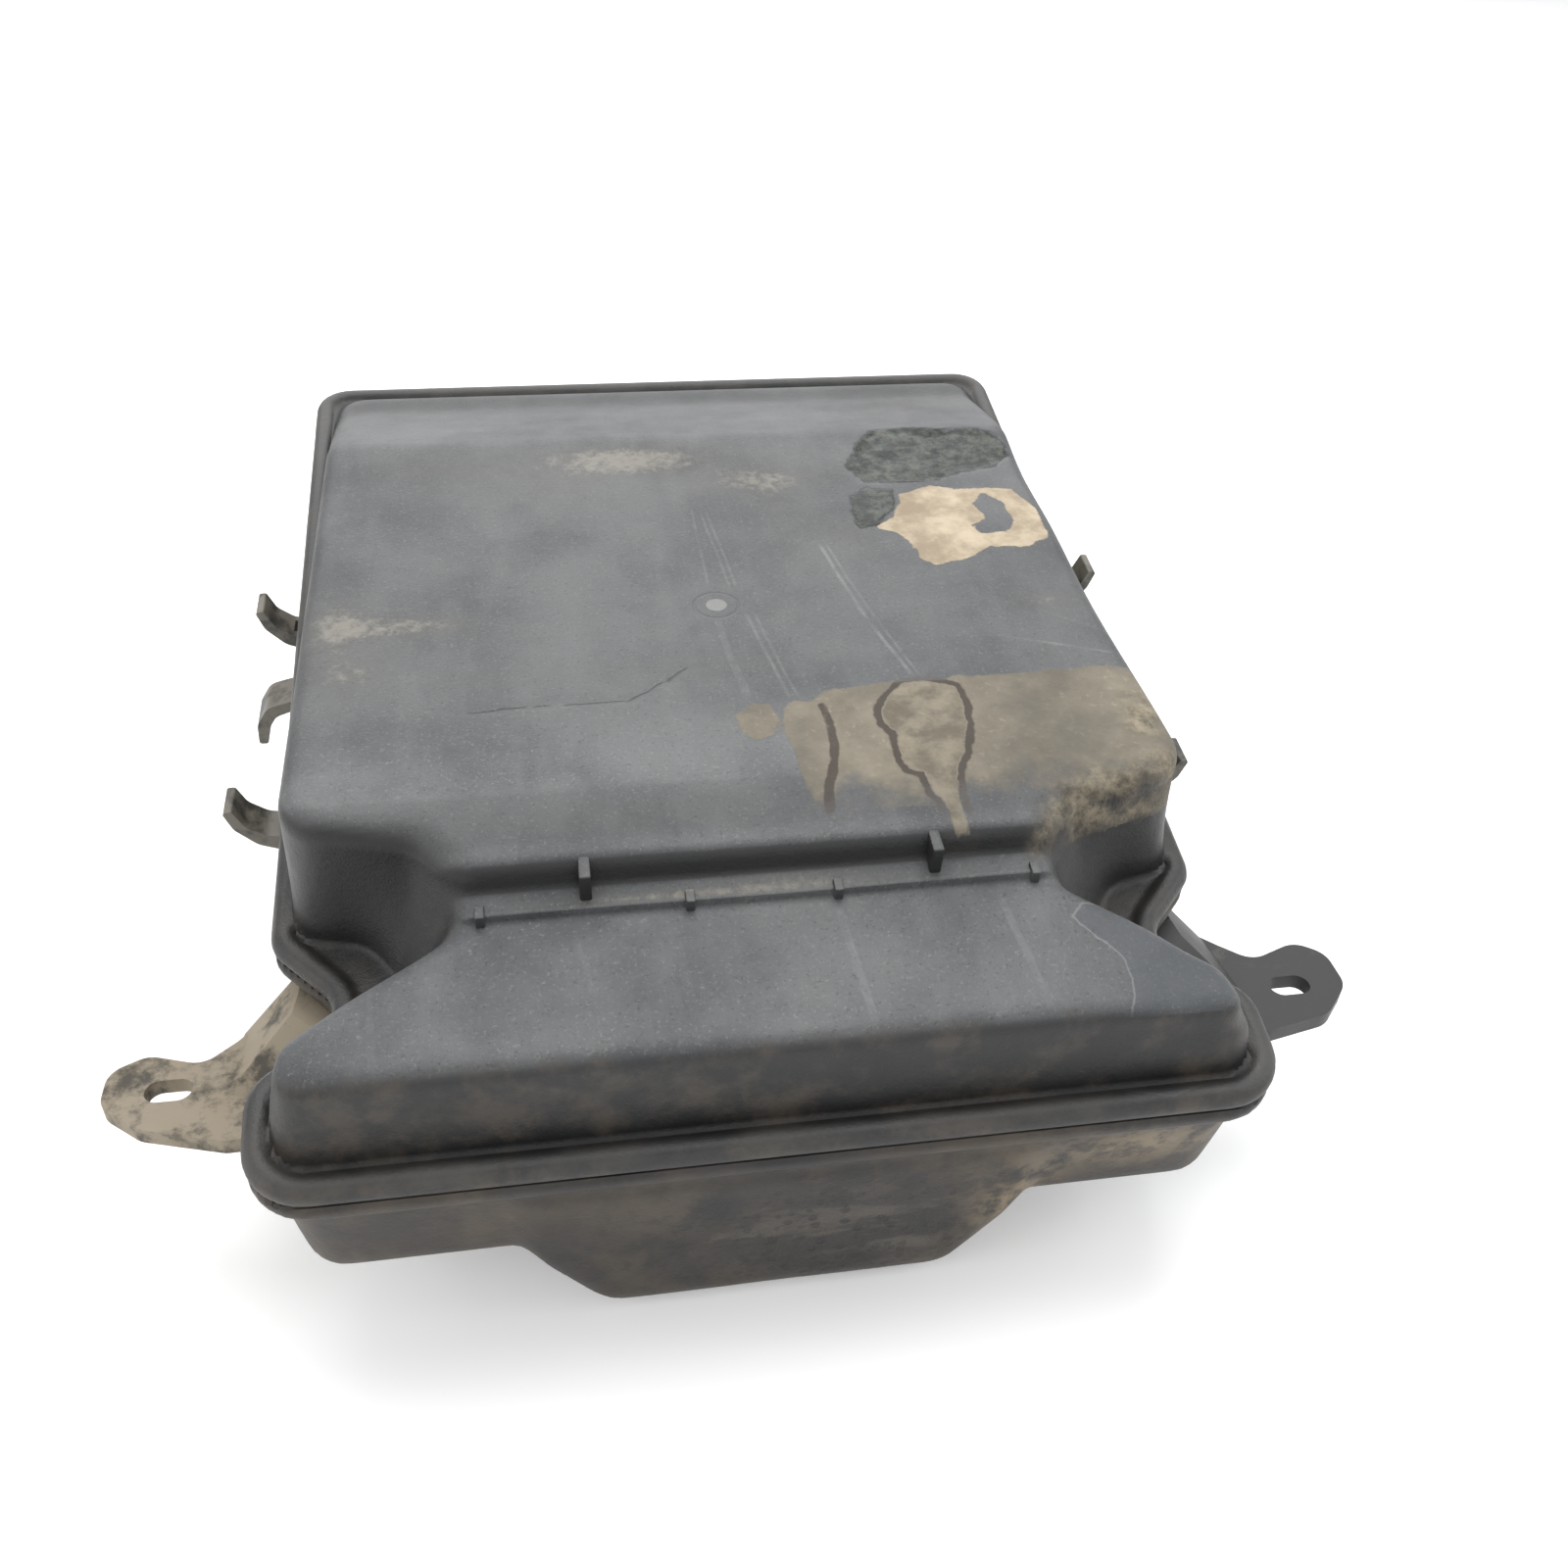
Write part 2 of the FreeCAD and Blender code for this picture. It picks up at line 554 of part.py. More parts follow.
for side, k in (("left", -1), ("right", 1)):
    for place, shape, v0, wide in HOOKS[side]:
        nm = "hose_hook_%s_%s" % (side, place)
        b = new_body(nm + "_bar", RIM)
        pts = shape if k > 0 else [(-x, z, r) for x, z, r in reversed(shape)]
        sk = sketch(b, nm + "_side", rounded(pts), "XZ_Plane", offset=-(v0 + g(wide) / 2))
        pad(b, nm + "_pad", sk, "dims." + wide)
        if place == "rear":
            # small rectangular lightening hole in the seat of the rear hook
            pk = sketch(b, nm + "_window", rect(k * 168 - 2.2, v0 - 3.6, k * 168 + 2.2, v0 + 3.6), offset=0)
            pocket(b, nm + "_window_cut", pk, 60.0, mid=True)
        obj = cut(nm, b, tray_o)
        keep(nm, obj)

# ----------------------------------------------------------------- battery --
z0 = THK
mat = new_body("battery_mat", FLAT)
y0, y1 = g("batt_front_y"), g("batt_front_y") + g("batt_long")
sk = sketch(mat, "mat_plan", rect(-g("mat_half") + 4, y0 - 3, g("mat_half") - 4, y1 + 3, 4), offset=z0)
pad(mat, "mat_pad", sk, "dims.mat_thk")
grooves = []
for i in range(7):
    yy = y0 + 15 + i * 20
    grooves += rect(-40, yy - 1.5, 40, yy + 1.5)
sk = sketch(mat, "mat_grooves", grooves, offset=z0 + g("mat_thk"))
pocket(mat, "mat_groove_cut", sk, 1.5)
keep("battery_mat", mat)

bz = z0 + g("mat_thk")
case = new_body("battery_case", FLAT)
sk = sketch(case, "case_plan", rect(-g("batt_half"), y0, g("batt_half"), y1, 3), offset=bz)
pad(case, "case_pad", sk, "dims.batt_tall")
sk = sketch(case, "case_foot_front", rect(-g("batt_half") - 1, y0 - 1, g("batt_half") + 1, y0 + 2.0), offset=bz)
fillet(case, "case_foot_round", lambda e: abs(e.BoundBox.ZMin - bz) < 0.1 and abs(e.BoundBox.ZMax - bz) < 0.1,
       [1.5, 1.0])
panel = rect(-g("batt_half") + 9, bz + 12, g("batt_half") - 9, bz + g("batt_tall") - 12, 3)
sk = sketch(case, "case_panel_front", panel, "XZ_Plane", offset=-y0)
pocket(case, "case_panel_front_cut", sk, 0.8, reverse=True)
keep("battery_case", case)

lz = bz + g("batt_tall")
lid = new_body("battery_lid", FLAT)
sk = sketch(lid, "lid_plan", rect(-g("batt_half"), y0, g("batt_half"), y1, 3), offset=lz)
pad(lid, "lid_pad", sk, "dims.batt_lid_tall")
ps = g("post_side")
post_xy = {"positive": (-28.0, y0 + 12.0), "negative": (28.0, y0 + 12.0)}
notch = rect(-g("batt_half") - 1, y0 - 1, -g("batt_half") + 24, y0 + 22, 0) + \
    rect(g("batt_half") - 24, y0 - 1, g("batt_half") + 1, y0 + 22, 0)
sk = sketch(lid, "lid_terminal_notches", notch, offset=lz + g("batt_lid_tall"))
pocket(lid, "lid_notch_cut", sk, 10.0)
sk = sketch(lid, "lid_vent_recess", rect(-14, y0 + 34, 14, y1 - 12, 3), offset=lz + g("batt_lid_tall"))
pocket(lid, "lid_vent_recess_cut", sk, 3.0)
keep("battery_lid", lid)
top_z = lz + g("batt_lid_tall")

strip = new_body("battery_vent_strip", FLAT)
sk = sketch(strip, "strip_plan", rect(-13.7, y0 + 34.3, 13.7, y1 - 12.3, 2.7), offset=top_z - 3.0)
pad(strip, "strip_pad", sk, 3.0)
dots = [circle(0, y0 + 44 + i * 15.6, 4.2) for i in range(6)]
sk = sketch(strip, "strip_dimples", dots, offset=top_z)
pocket(strip, "strip_dimple_cut", sk, 0.8)
keep("battery_vent_strip", strip)

bolts, nuts, washers = [], [], []
for pol, (px, py) in post_xy.items():
    post = new_body("terminal_post_" + pol, FLAT)
    pz = top_z - 10.0
    sk = sketch(post, "post_plan_" + pol, rect(px - ps / 2, py - ps / 2, px + ps / 2, py + ps / 2, 1.5), offset=pz)
    pad(post, "post_pad_" + pol, sk, "dims.post_tall")
    # square pocket from the front for the captive nut, and the bolt hole down into it
    sk = sketch(post, "post_nut_" + pol, rect(px - 5.1, pz + 1.6, px + 5.1, pz + 6.4), "XZ_Plane",
                offset=-(py - ps / 2))
    pocket(post, "post_nut_cut_" + pol, sk, 10.6, reverse=True)
    sk = sketch(post, "post_bore_" + pol, [circle(px, py, g("bolt_rad") + 0.25)], offset=pz + g("post_tall"))
    pocket(post, "post_bore_cut_" + pol, sk, 5.0)
    keep("terminal_post_" + pol, post)
    n = new_body("terminal_nut_" + pol, FLAT)
    sk = sketch(n, "nut_plan_" + pol, rect(px - 5, py - 5, px + 5, py + 4) + [circle(px, py, g("bolt_rad"))],
                offset=pz + 1.8)
    pad(n, "nut_pad_" + pol, sk, 4.4)
    nuts.append(n)
    b = new_body("terminal_bolt_" + pol, FLAT)
    s1 = sketch(b, "bolt_shank_" + pol, [circle(px, py, g("bolt_rad"))], offset=pz + 1.8)
    pad(b, "bolt_shank_pad_" + pol, s1, g("post_tall") - 1.8 + 0.05)
    s2 = sketch(b, "bolt_head_" + pol, [circle(px, py, 5.2)], offset=pz + g("post_tall"))
    pad(b, "bolt_head_pad_" + pol, s2, 3.6)
    s3 = sketch(b, "bolt_drive_" + pol, rect(px - 4, py - 0.7, px + 4, py + 0.7), offset=pz + g("post_tall") + 3.6)
    pocket(b, "bolt_drive_cut_" + pol, s3, 1.4)
    bolts.append(b)
keep("terminal_nuts", compound("terminal_nuts", nuts))
keep("terminal_bolts", compound("terminal_bolts", bolts))

# hinged insulating caps over the two terminals
HINGE_Y = y0 + 24.0
HINGE_Z = top_z + 3.4
for pol, (px, py) in post_xy.items():
    k = -1 if px < 0 else 1
    c = new_body("terminal_cap_" + pol, FLAT)
    x0, x1 = px - 10.5, px + 10.5
    s1 = sketch(c, "cap_plan_" + pol, rect(x0, y0 + 1.0, x1, HINGE_Y - 3.0, 2.5), offset=top_z + 3.6)
    pad(c, "cap_top_" + pol, s1, "dims.cap_thk")
    s2 = sketch(c, "cap_skirt_" + pol, rounded([(x0, y0 + 1.0, 2.5), (x1, y0 + 1.0, 2.5), (x1, y0 + 20.4, 1),
                                                (x0, y0 + 20.4, 1)]) +
                rounded([(x0 + 1.6, y0 + 2.6, 1.2), (x1 - 1.6, y0 + 2.6, 1.2), (x1 - 1.6, y0 + 18.8, 0.5),
                         (x0 + 1.6, y0 + 18.8, 0.5)]), offset=top_z + 3.6)
    pad(c, "cap_skirt_pad_" + pol, s2, 3.3, reverse=True)
    s3 = sketch(c, "cap_knuckle_" + pol, [circle(HINGE_Y, HINGE_Z, 1.8)], "YZ_Plane", offset=px - 6.0)
    pad(c, "cap_knuckle_pad_" + pol, s3, 12.0)
    s4 = sketch(c, "cap_arm_" + pol, rect(px - 6.0, HINGE_Y - 4.4, px + 6.0, HINGE_Y), offset=top_z + 3.6)
    pad(c, "cap_arm_pad_" + pol, s4, "dims.cap_thk")
    s5 = sketch(c, "cap_bore_" + pol, [circle(HINGE_Y, HINGE_Z, 0.85)], "YZ_Plane", offset=px - 7.0)
    pocket(c, "cap_bore_cut_" + pol, s5, 16.0, reverse=True)
    keep("terminal_cap_" + pol, c)
# hinge brackets and pins for the caps, on the battery's top
brackets, pins = [], []
for pol, (px, py) in post_xy.items():
    for i, (a, b2) in enumerate(((px - 8.6, px - 6.2), (px + 6.2, px + 8.6))):
        br = new_body("cap_lug_%s_%d" % (pol, i), FLAT)
        s1 = sketch(br, "cap_lug_side_%s_%d" % (pol, i),
                    rounded([(HINGE_Y - 1.4, top_z, 0), (HINGE_Y + 3.0, top_z, 0), (HINGE_Y + 2.0, HINGE_Z + 1.6, 1.2),
                             (HINGE_Y - 1.6, HINGE_Z + 1.6, 1.2)]), "YZ_Plane", offset=a)
        pad(br, "cap_lug_pad_%s_%d" % (pol, i), s1, b2 - a)
        s2 = sketch(br, "cap_lug_bore_%s_%d" % (pol, i), [circle(HINGE_Y, HINGE_Z, 0.8)], "YZ_Plane", offset=a - 1)
        pocket(br, "cap_lug_bore_cut_%s_%d" % (pol, i), s2, b2 - a + 2, reverse=True)
        brackets.append(br)
    pins.append(cyl("cap_pin_" + pol, 0.8, 17.2, V(px - 8.6, HINGE_Y, HINGE_Z), V(1, 0, 0)))
keep("terminal_cap_lugs", compound("terminal_cap_lugs", brackets))
keep("terminal_cap_pins", compound("terminal_cap_pins", pins))

# --------------------------------------------------------------- hold-down --
bar = new_body("hold_down_bar", FLAT)
hb = g("rod_x") + 9
bw = g("bar_wide") / 2
bar_z = top_z + 2.0
sk = sketch(bar, "bar_plan", rounded([(-hb, mid_y - bw, 6), (hb, mid_y - bw, 6), (hb, mid_y + bw, 6),
                                      (-hb, mid_y + bw, 6)]), offset=bar_z)
pad(bar, "bar_pad", sk, "dims.bar_thk")
sk = sketch(bar, "bar_holes", [circle(g("rod_x"), mid_y, 3.5), circle(-g("rod_x"), mid_y, 3.5)],
            offset=bar_z + g("bar_thk"))
pocket(bar, "bar_hole_cut", sk, g("bar_thk") + 1)
sk = sketch(bar, "bar_swage", rect(-36, mid_y - 3, 36, mid_y + 3, 3), offset=bar_z + g("bar_thk"))
pad(bar, "bar_swage_pad", sk, 1.6)
keep("hold_down_bar", bar)
hpad = new_body("hold_down_pad", FLAT)
sk = sketch(hpad, "hold_pad_plan", rect(-38, mid_y - 10, 38, mid_y + 10, 2), offset=top_z)
pad(hpad, "hold_pad_pad", sk, 2.0)
keep("hold_down_pad", hpad)
rods, hnuts, hwash = [], [], []
for side, x in (("right", g("rod_x")), ("left", -g("rod_x"))):
    rods.append(cyl("hold_rod_" + side, "dims.rod_rad", bar_z + g("bar_thk") + 8.6 - 6.0, V(x, mid_y, 6.0)))
    w = new_body("hold_washer_" + side, FLAT)
    sk = sketch(w, "washer_plan_" + side, [circle(x, mid_y, 6.0), circle(x, mid_y, 3.3)], offset=bar_z + g("bar_thk"))
    pad(w, "washer_pad_" + side, sk, 1.2)
    hwash.append(w)
    n = new_body("hold_nut_" + side, FLAT)
    hexa = [(x + 5.77 * math.cos(math.radians(60 * i)), mid_y + 5.77 * math.sin(math.radians(60 * i)), 0)
            for i in range(6)]
    sk = sketch(n, "nut_hex_" + side, rounded(hexa) + [circle(x, mid_y, g("rod_rad") + 0.02)],
                offset=bar_z + g("bar_thk") + 1.2)
    pad(n, "nut_hex_pad_" + side, sk, 5.0)
    hnuts.append(n)
keep("hold_down_rods", compound("hold_down_rods", rods))
keep("hold_down_washers", compound("hold_down_washers", hwash))
keep("hold_down_nuts", compound("hold_down_nuts", hnuts))

# foam strips on the well's side walls, beside the battery
pads = []
for side, k in (("right", 1), ("left", -1)):
    for place, (ya, yb) in (("front", (y0 + 8, mid_y - 14)), ("back", (mid_y + 14, y1 - 8))):
        pb = new_body("side_pad_%s_%s" % (side, place), FLAT)
        xa, xb = g("batt_half") + 0.2, g("batt_half") + 0.2 + g("pad_thk")
        if k < 0:
            xa, xb = -xb, -xa
        sk = sketch(pb, "side_pad_plan_%s_%s" % (side, place), rect(xa, ya, xb, yb, 1.0), offset=34.0)
        pad(pb, "side_pad_pad_%s_%s" % (side, place), sk, 60.0)
        pads.append(pb)
keep("battery_side_pads", compound("battery_side_pads", pads))

# ----------------------------------------------------------------- rubbers --
BACK_IN = g("wall_back_v") - 8.0
grom = []
for side, x in (("right", g("lead_x")), ("left", -g("lead_x"))):
    gb = new_body("lead_grommet_" + side, RIM)
    # revolve profile in (v, radius), turned about the hole's own axis
    grom.append((side, x))
    prof_pts = []
    vw = g("wall_back_v") - 0.5 - math.tan(math.radians(g("tub_draft"))) * 29.0
    R, r, f = g("lead_rad") - 0.05, g("lead_bore"), g("lead_rad") + 3.0
    pts = [(r, vw - THK - 3.2, 0), (f, vw - THK - 3.2, 0.8), (f, vw - THK - 1.2, 0), (R, vw - THK - 1.2, 0),
           (R, vw + 1.2, 0), (f, vw + 1.2, 0), (f, vw + 3.4, 0.8), (r + 2.0, vw + 10.0, 0.6), (r, vw + 10.0, 0)]
    s1 = sketch(gb, "grommet_profile_" + side, [e for e in rounded([(a, b, c) for a, b, c in pts])], "XY_Plane",
                offset=g("lead_w"))
    s1.AttachmentOffset = FreeCAD.Placement(V(x, 0, g("lead_w")), FreeCAD.Rotation())
    rev = gb.newObject("PartDesign::Revolution", "grommet_turn_" + side)
    rev.Profile = s1
    rev.ReferenceAxis = (s1, ["V_Axis"])
    rev.Angle = 360.0
    doc.recompute()
    keep("lead_grommet_" + side, gb)

drain = new_body("drain_valve", FLAT)
R, r = g("drain_rad") - 0.05, g("drain_bore")
pts = [(r, 0.6, 0), (R, 0.6, 0.4), (R, THK + 0.1, 0), (R + 3.0, THK + 0.1, 0), (R + 3.0, THK + 2.2, 0.8),
       (r, THK + 2.2, 0)]
s1 = sketch(drain, "drain_profile", rounded(pts), "XZ_Plane", offset=-drain_y)
rev = drain.newObject("PartDesign::Revolution", "drain_turn")
rev.Profile = s1
rev.ReferenceAxis = (s1, ["V_Axis"])
rev.Angle = 360.0
doc.recompute()
keep("drain_valve", drain)

# ------------------------------------------------------------- fuse holder --
fx, fv, fl, fw = g("fuse_x"), g("fuse_v"), g("fuse_long") / 2, g("fuse_wide") / 2
FW0 = -45.0
base = new_body("fuse_holder_base", RIM)
sk = sketch(base, "fuse_base_plan", rect(fx - fw, fv - fl, fx + fw, fv + fl, 3), offset=FW0)
pad(base, "fuse_base_pad", sk, "dims.fuse_base_tall")
sk = sketch(base, "fuse_base_well", rect(fx - fw + 3, fv - fl + 3, fx + fw - 6, fv + fl - 3, 1.5),
            offset=FW0 + g("fuse_base_tall"))
pocket(base, "fuse_base_well_cut", sk, 5.0)
sk = sketch(base, "fuse_stud_holes", [circle(fx - 1.5, fv - 20, 2.5), circle(fx - 1.5, fv + 20, 2.5)],
            offset=FW0 + g("fuse_base_tall"))
pocket(base, "fuse_stud_hole_cut", sk, 9.0)
keep("fuse_holder_base", base)
fuse_l = new_body("main_fuse", RIM)
fz = FW0 + g("fuse_base_tall") - 5.0
sk = sketch(fuse_l, "fuse_strip_plan", rect(fx - 7.5, fv - 25, fx + 4.5, fv + 25, 2) +
            [circle(fx - 1.5, fv - 20, 2.6), circle(fx - 1.5, fv + 20, 2.6)], offset=fz)
pad(fuse_l, "fuse_strip_pad", sk, 1.2)
sk = sketch(fuse_l, "fuse_block_plan", rect(fx - 8, fv - 12, fx + 5, fv + 12, 2), offset=fz)
pad(fuse_l, "fuse_block_pad", sk, 7.0)
keep("main_fuse", fuse_l)
studs, fnuts = [], []
for i, dv in enumerate((-20, 20)):
    st = cyl("fuse_stud_%d" % i, 2.5, 13.0, V(fx - 1.5, fv + dv, FW0 + 3.2), base=RIM)
    studs.append(st)
    n = new_body("fuse_nut_%d" % i, RIM)
    hexa = [(fx - 1.5 + 4.6 * math.cos(math.radians(60 * j)), fv + dv + 4.6 * math.sin(math.radians(60 * j)), 0)
            for j in range(6)]
    sk = sketch(n, "fuse_nut_plan_%d" % i, rounded(hexa) + [circle(fx - 1.5, fv + dv, 2.52)], offset=fz + 1.2)
    pad(n, "fuse_nut_pad_%d" % i, sk, 4.0)
    fnuts.append(n)
keep("fuse_studs", compound("fuse_studs", studs))
keep("fuse_nuts", compound("fuse_nuts", fnuts))
# snap-over lid hinged along the outer edge of the base
FH_X = fx + fw - 2.4
FH_W = FW0 + g("fuse_base_tall") + 0.2 + 1.8
flid = new_body("fuse_holder_lid", RIM)
lw0 = FW0 + g("fuse_base_tall") + 0.3
sk = sketch(flid, "fuse_lid_plan", rect(fx - fw, fv - fl, fx + fw - 5.2, fv + fl, 3), offset=lw0)
pad(flid, "fuse_lid_pad", sk, "dims.fuse_lid_tall")
sk = sketch(flid, "fuse_lid_hollow", rect(fx - fw + 1.8, fv - fl + 1.8, fx + fw - 7.0, fv + fl - 1.8, 1.5), offset=lw0)
pocket(flid, "fuse_lid_hollow_cut", sk, g("fuse_lid_tall") - 1.8, reverse=True)
sk = sketch(flid, "fuse_lid_arm", rect(FH_X - 4.4, lw0, FH_X, lw0 + 1.7), "XZ_Plane", offset=-(fv + 10))
pad(flid, "fuse_lid_arm_pad", sk, 20.0)
sk = sketch(flid, "fuse_lid_knuckle", [circle(FH_X, FH_W, 1.8)], "XZ_Plane", offset=-(fv + 10))
pad(flid, "fuse_lid_knuckle_pad", sk, 20.0)
sk = sketch(flid, "fuse_lid_bore", [circle(FH_X, FH_W, 0.85)], "XZ_Plane", offset=-(fv + 11))
pocket(flid, "fuse_lid_bore_cut", sk, 22.0, reverse=False)
keep("fuse_holder_lid", flid)
lug = []
for i, (a, b2) in enumerate(((fv - 14, fv - 10.3), (fv + 10.3, fv + 14))):
    lb = new_body("fuse_hinge_lug_%d" % i, RIM)
    sk = sketch(lb, "fuse_lug_side_%d" % i, rounded([(FH_X - 2.0, FW0 + g("fuse_base_tall"), 0),
                                                    (FH_X + 2.2, FW0 + g("fuse_base_tall"), 0),
                                                    (FH_X + 2.0, FH_W + 1.8, 1.2), (FH_X - 1.8, FH_W + 1.8, 1.2)]),
                "XZ_Plane", offset=-b2)
    pad(lb, "fuse_lug_pad_%d" % i, sk, b2 - a)
    sk = sketch(lb, "fuse_lug_bore_%d" % i, [circle(FH_X, FH_W, 0.8)], "XZ_Plane", offset=-b2 - 1)
    pocket(lb, "fuse_lug_bore_cut_%d" % i, sk, b2 - a + 2)
    lug.append(lb)
keep("fuse_hinge_lugs", compound("fuse_hinge_lugs", lug))
keep("fuse_hinge_pin", cyl("fuse_hinge_pin", 0.8, 28.0, V(FH_X, fv - 14, FH_W), V(0, 1, 0), RIM))
doc.recompute()

# ------------------------------------------------------------ check, write --
bad = []
for o in doc.Objects:
    if "Invalid" in o.State or "Error" in o.State:
        bad.append((o.Name, list(o.State)))
total = FreeCAD.BoundBox()
for name, o in NODES.items():
    s = o.Shape
    if s.isNull() or not s.isValid() or not s.Solids:
        bad.append((name, "shape"))
    else:
        bb = FreeCAD.BoundBox()
        for p in s.tessellate(0.2)[0]:
            bb.add(p)
        total.add(bb)
        print("%-26s solids %d vol %.0f  box %.1f %.1f %.1f .. %.1f %.1f %.1f" % (
            name, len(s.Solids), s.Volume, bb.XMin, bb.YMin, bb.ZMin, bb.XMax, bb.YMax, bb.ZMax))
if bad:
    raise RuntimeError("failed objects: %s" % bad)
print("whole part", total.XMin, total.YMin, total.ZMin, total.XMax, total.YMax, total.ZMax,
      "y centre", (total.YMin + total.YMax) / 2)
print("cap hinge at y %.3f z %.3f" % (HINGE_Y + g("y_shift"), HINGE_Z))
fh = RIM.multVec(V(FH_X, fv, FH_W))
print("fuse hinge at", fh.x, fh.y, fh.z)
os.makedirs("parts", exist_ok=True)
for name, o in NODES.items():
    o.Shape.exportStep("parts/%s.step" % name)
print("nodes", len(NODES))
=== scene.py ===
import bpy
import math
import numpy as np
from mathutils import Vector, Matrix, Quaternion


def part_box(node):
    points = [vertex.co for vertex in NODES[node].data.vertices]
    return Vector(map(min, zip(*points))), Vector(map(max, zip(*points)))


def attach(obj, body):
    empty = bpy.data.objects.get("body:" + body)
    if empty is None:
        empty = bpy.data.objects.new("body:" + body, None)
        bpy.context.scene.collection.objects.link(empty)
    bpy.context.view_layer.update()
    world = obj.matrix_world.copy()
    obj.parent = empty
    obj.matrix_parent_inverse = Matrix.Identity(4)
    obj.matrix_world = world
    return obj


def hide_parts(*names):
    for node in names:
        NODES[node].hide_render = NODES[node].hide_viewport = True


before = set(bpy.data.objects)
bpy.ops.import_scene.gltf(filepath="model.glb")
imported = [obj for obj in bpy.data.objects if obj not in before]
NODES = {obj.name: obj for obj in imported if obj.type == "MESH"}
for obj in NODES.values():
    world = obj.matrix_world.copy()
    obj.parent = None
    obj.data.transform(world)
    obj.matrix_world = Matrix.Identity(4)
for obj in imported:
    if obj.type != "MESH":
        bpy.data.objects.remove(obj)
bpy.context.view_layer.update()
scene = bpy.context.scene
MM = 0.001

# ------------------------------------------------------------ camera, light --
cam_data = bpy.data.cameras.new("camera")
cam_data.lens = 33.074
cam_data.sensor_width = 36.0
cam_data.clip_start = 0.02
cam_data.clip_end = 30.0
cam = bpy.data.objects.new("camera", cam_data)
cam.location = (-0.056635, -0.489237, 0.432914)
cam.rotation_mode = "QUATERNION"
cam.rotation_quaternion = Quaternion((0.893881, 0.441162, -0.049452, -0.062505))
scene.collection.objects.link(cam)
scene.camera = cam


def area(name, loc, look, size, size_y, power, colour=(1, 1, 1)):
    d = bpy.data.lights.new(name, "AREA")
    d.shape = "RECTANGLE"
    d.size, d.size_y = size, size_y
    d.energy = power
    d.color = colour
    o = bpy.data.objects.new(name, d)
    o.location = loc
    o.rotation_mode = "QUATERNION"
    o.rotation_quaternion = (Vector(look) - Vector(loc)).to_track_quat("-Z", "Y")
    scene.collection.objects.link(o)
    return o


area("light_top", (0.1, 0.45, 1.9), (0, 0.05, 0.1), 1.8, 1.4, 31, (1.0, 0.995, 0.985))
area("light_back", (0.0, 2.1, 1.15), (0, 0, 0.12), 2.8, 1.5, 31, (0.99, 0.995, 1.0))
area("light_left", (-1.7, -0.5, 0.9), (0, 0, 0.1), 1.2, 1.0, 9, (1.0, 0.99, 0.97))
area("light_right", (1.8, -0.1, 1.0), (0, 0, 0.1), 1.2, 1.0, 10, (0.98, 0.99, 1.0))
area("light_front", (0.2, -1.9, 0.75), (0, 0, 0.08), 1.4, 0.8, 5)

world = bpy.data.worlds.new("studio")
scene.world = world
world.use_nodes = True
bg = world.node_tree.nodes["Background"]
bg.inputs["Color"].default_value = (0.97, 0.98, 1.0, 1.0)
bg.inputs["Strength"].default_value = 0.66

scene.view_settings.view_transform = "Standard"
scene.view_settings.look = "None"
scene.view_settings.exposure = 0.0
scene.view_settings.gamma = 1.0

# ------------------------------------------------------------ node helpers --


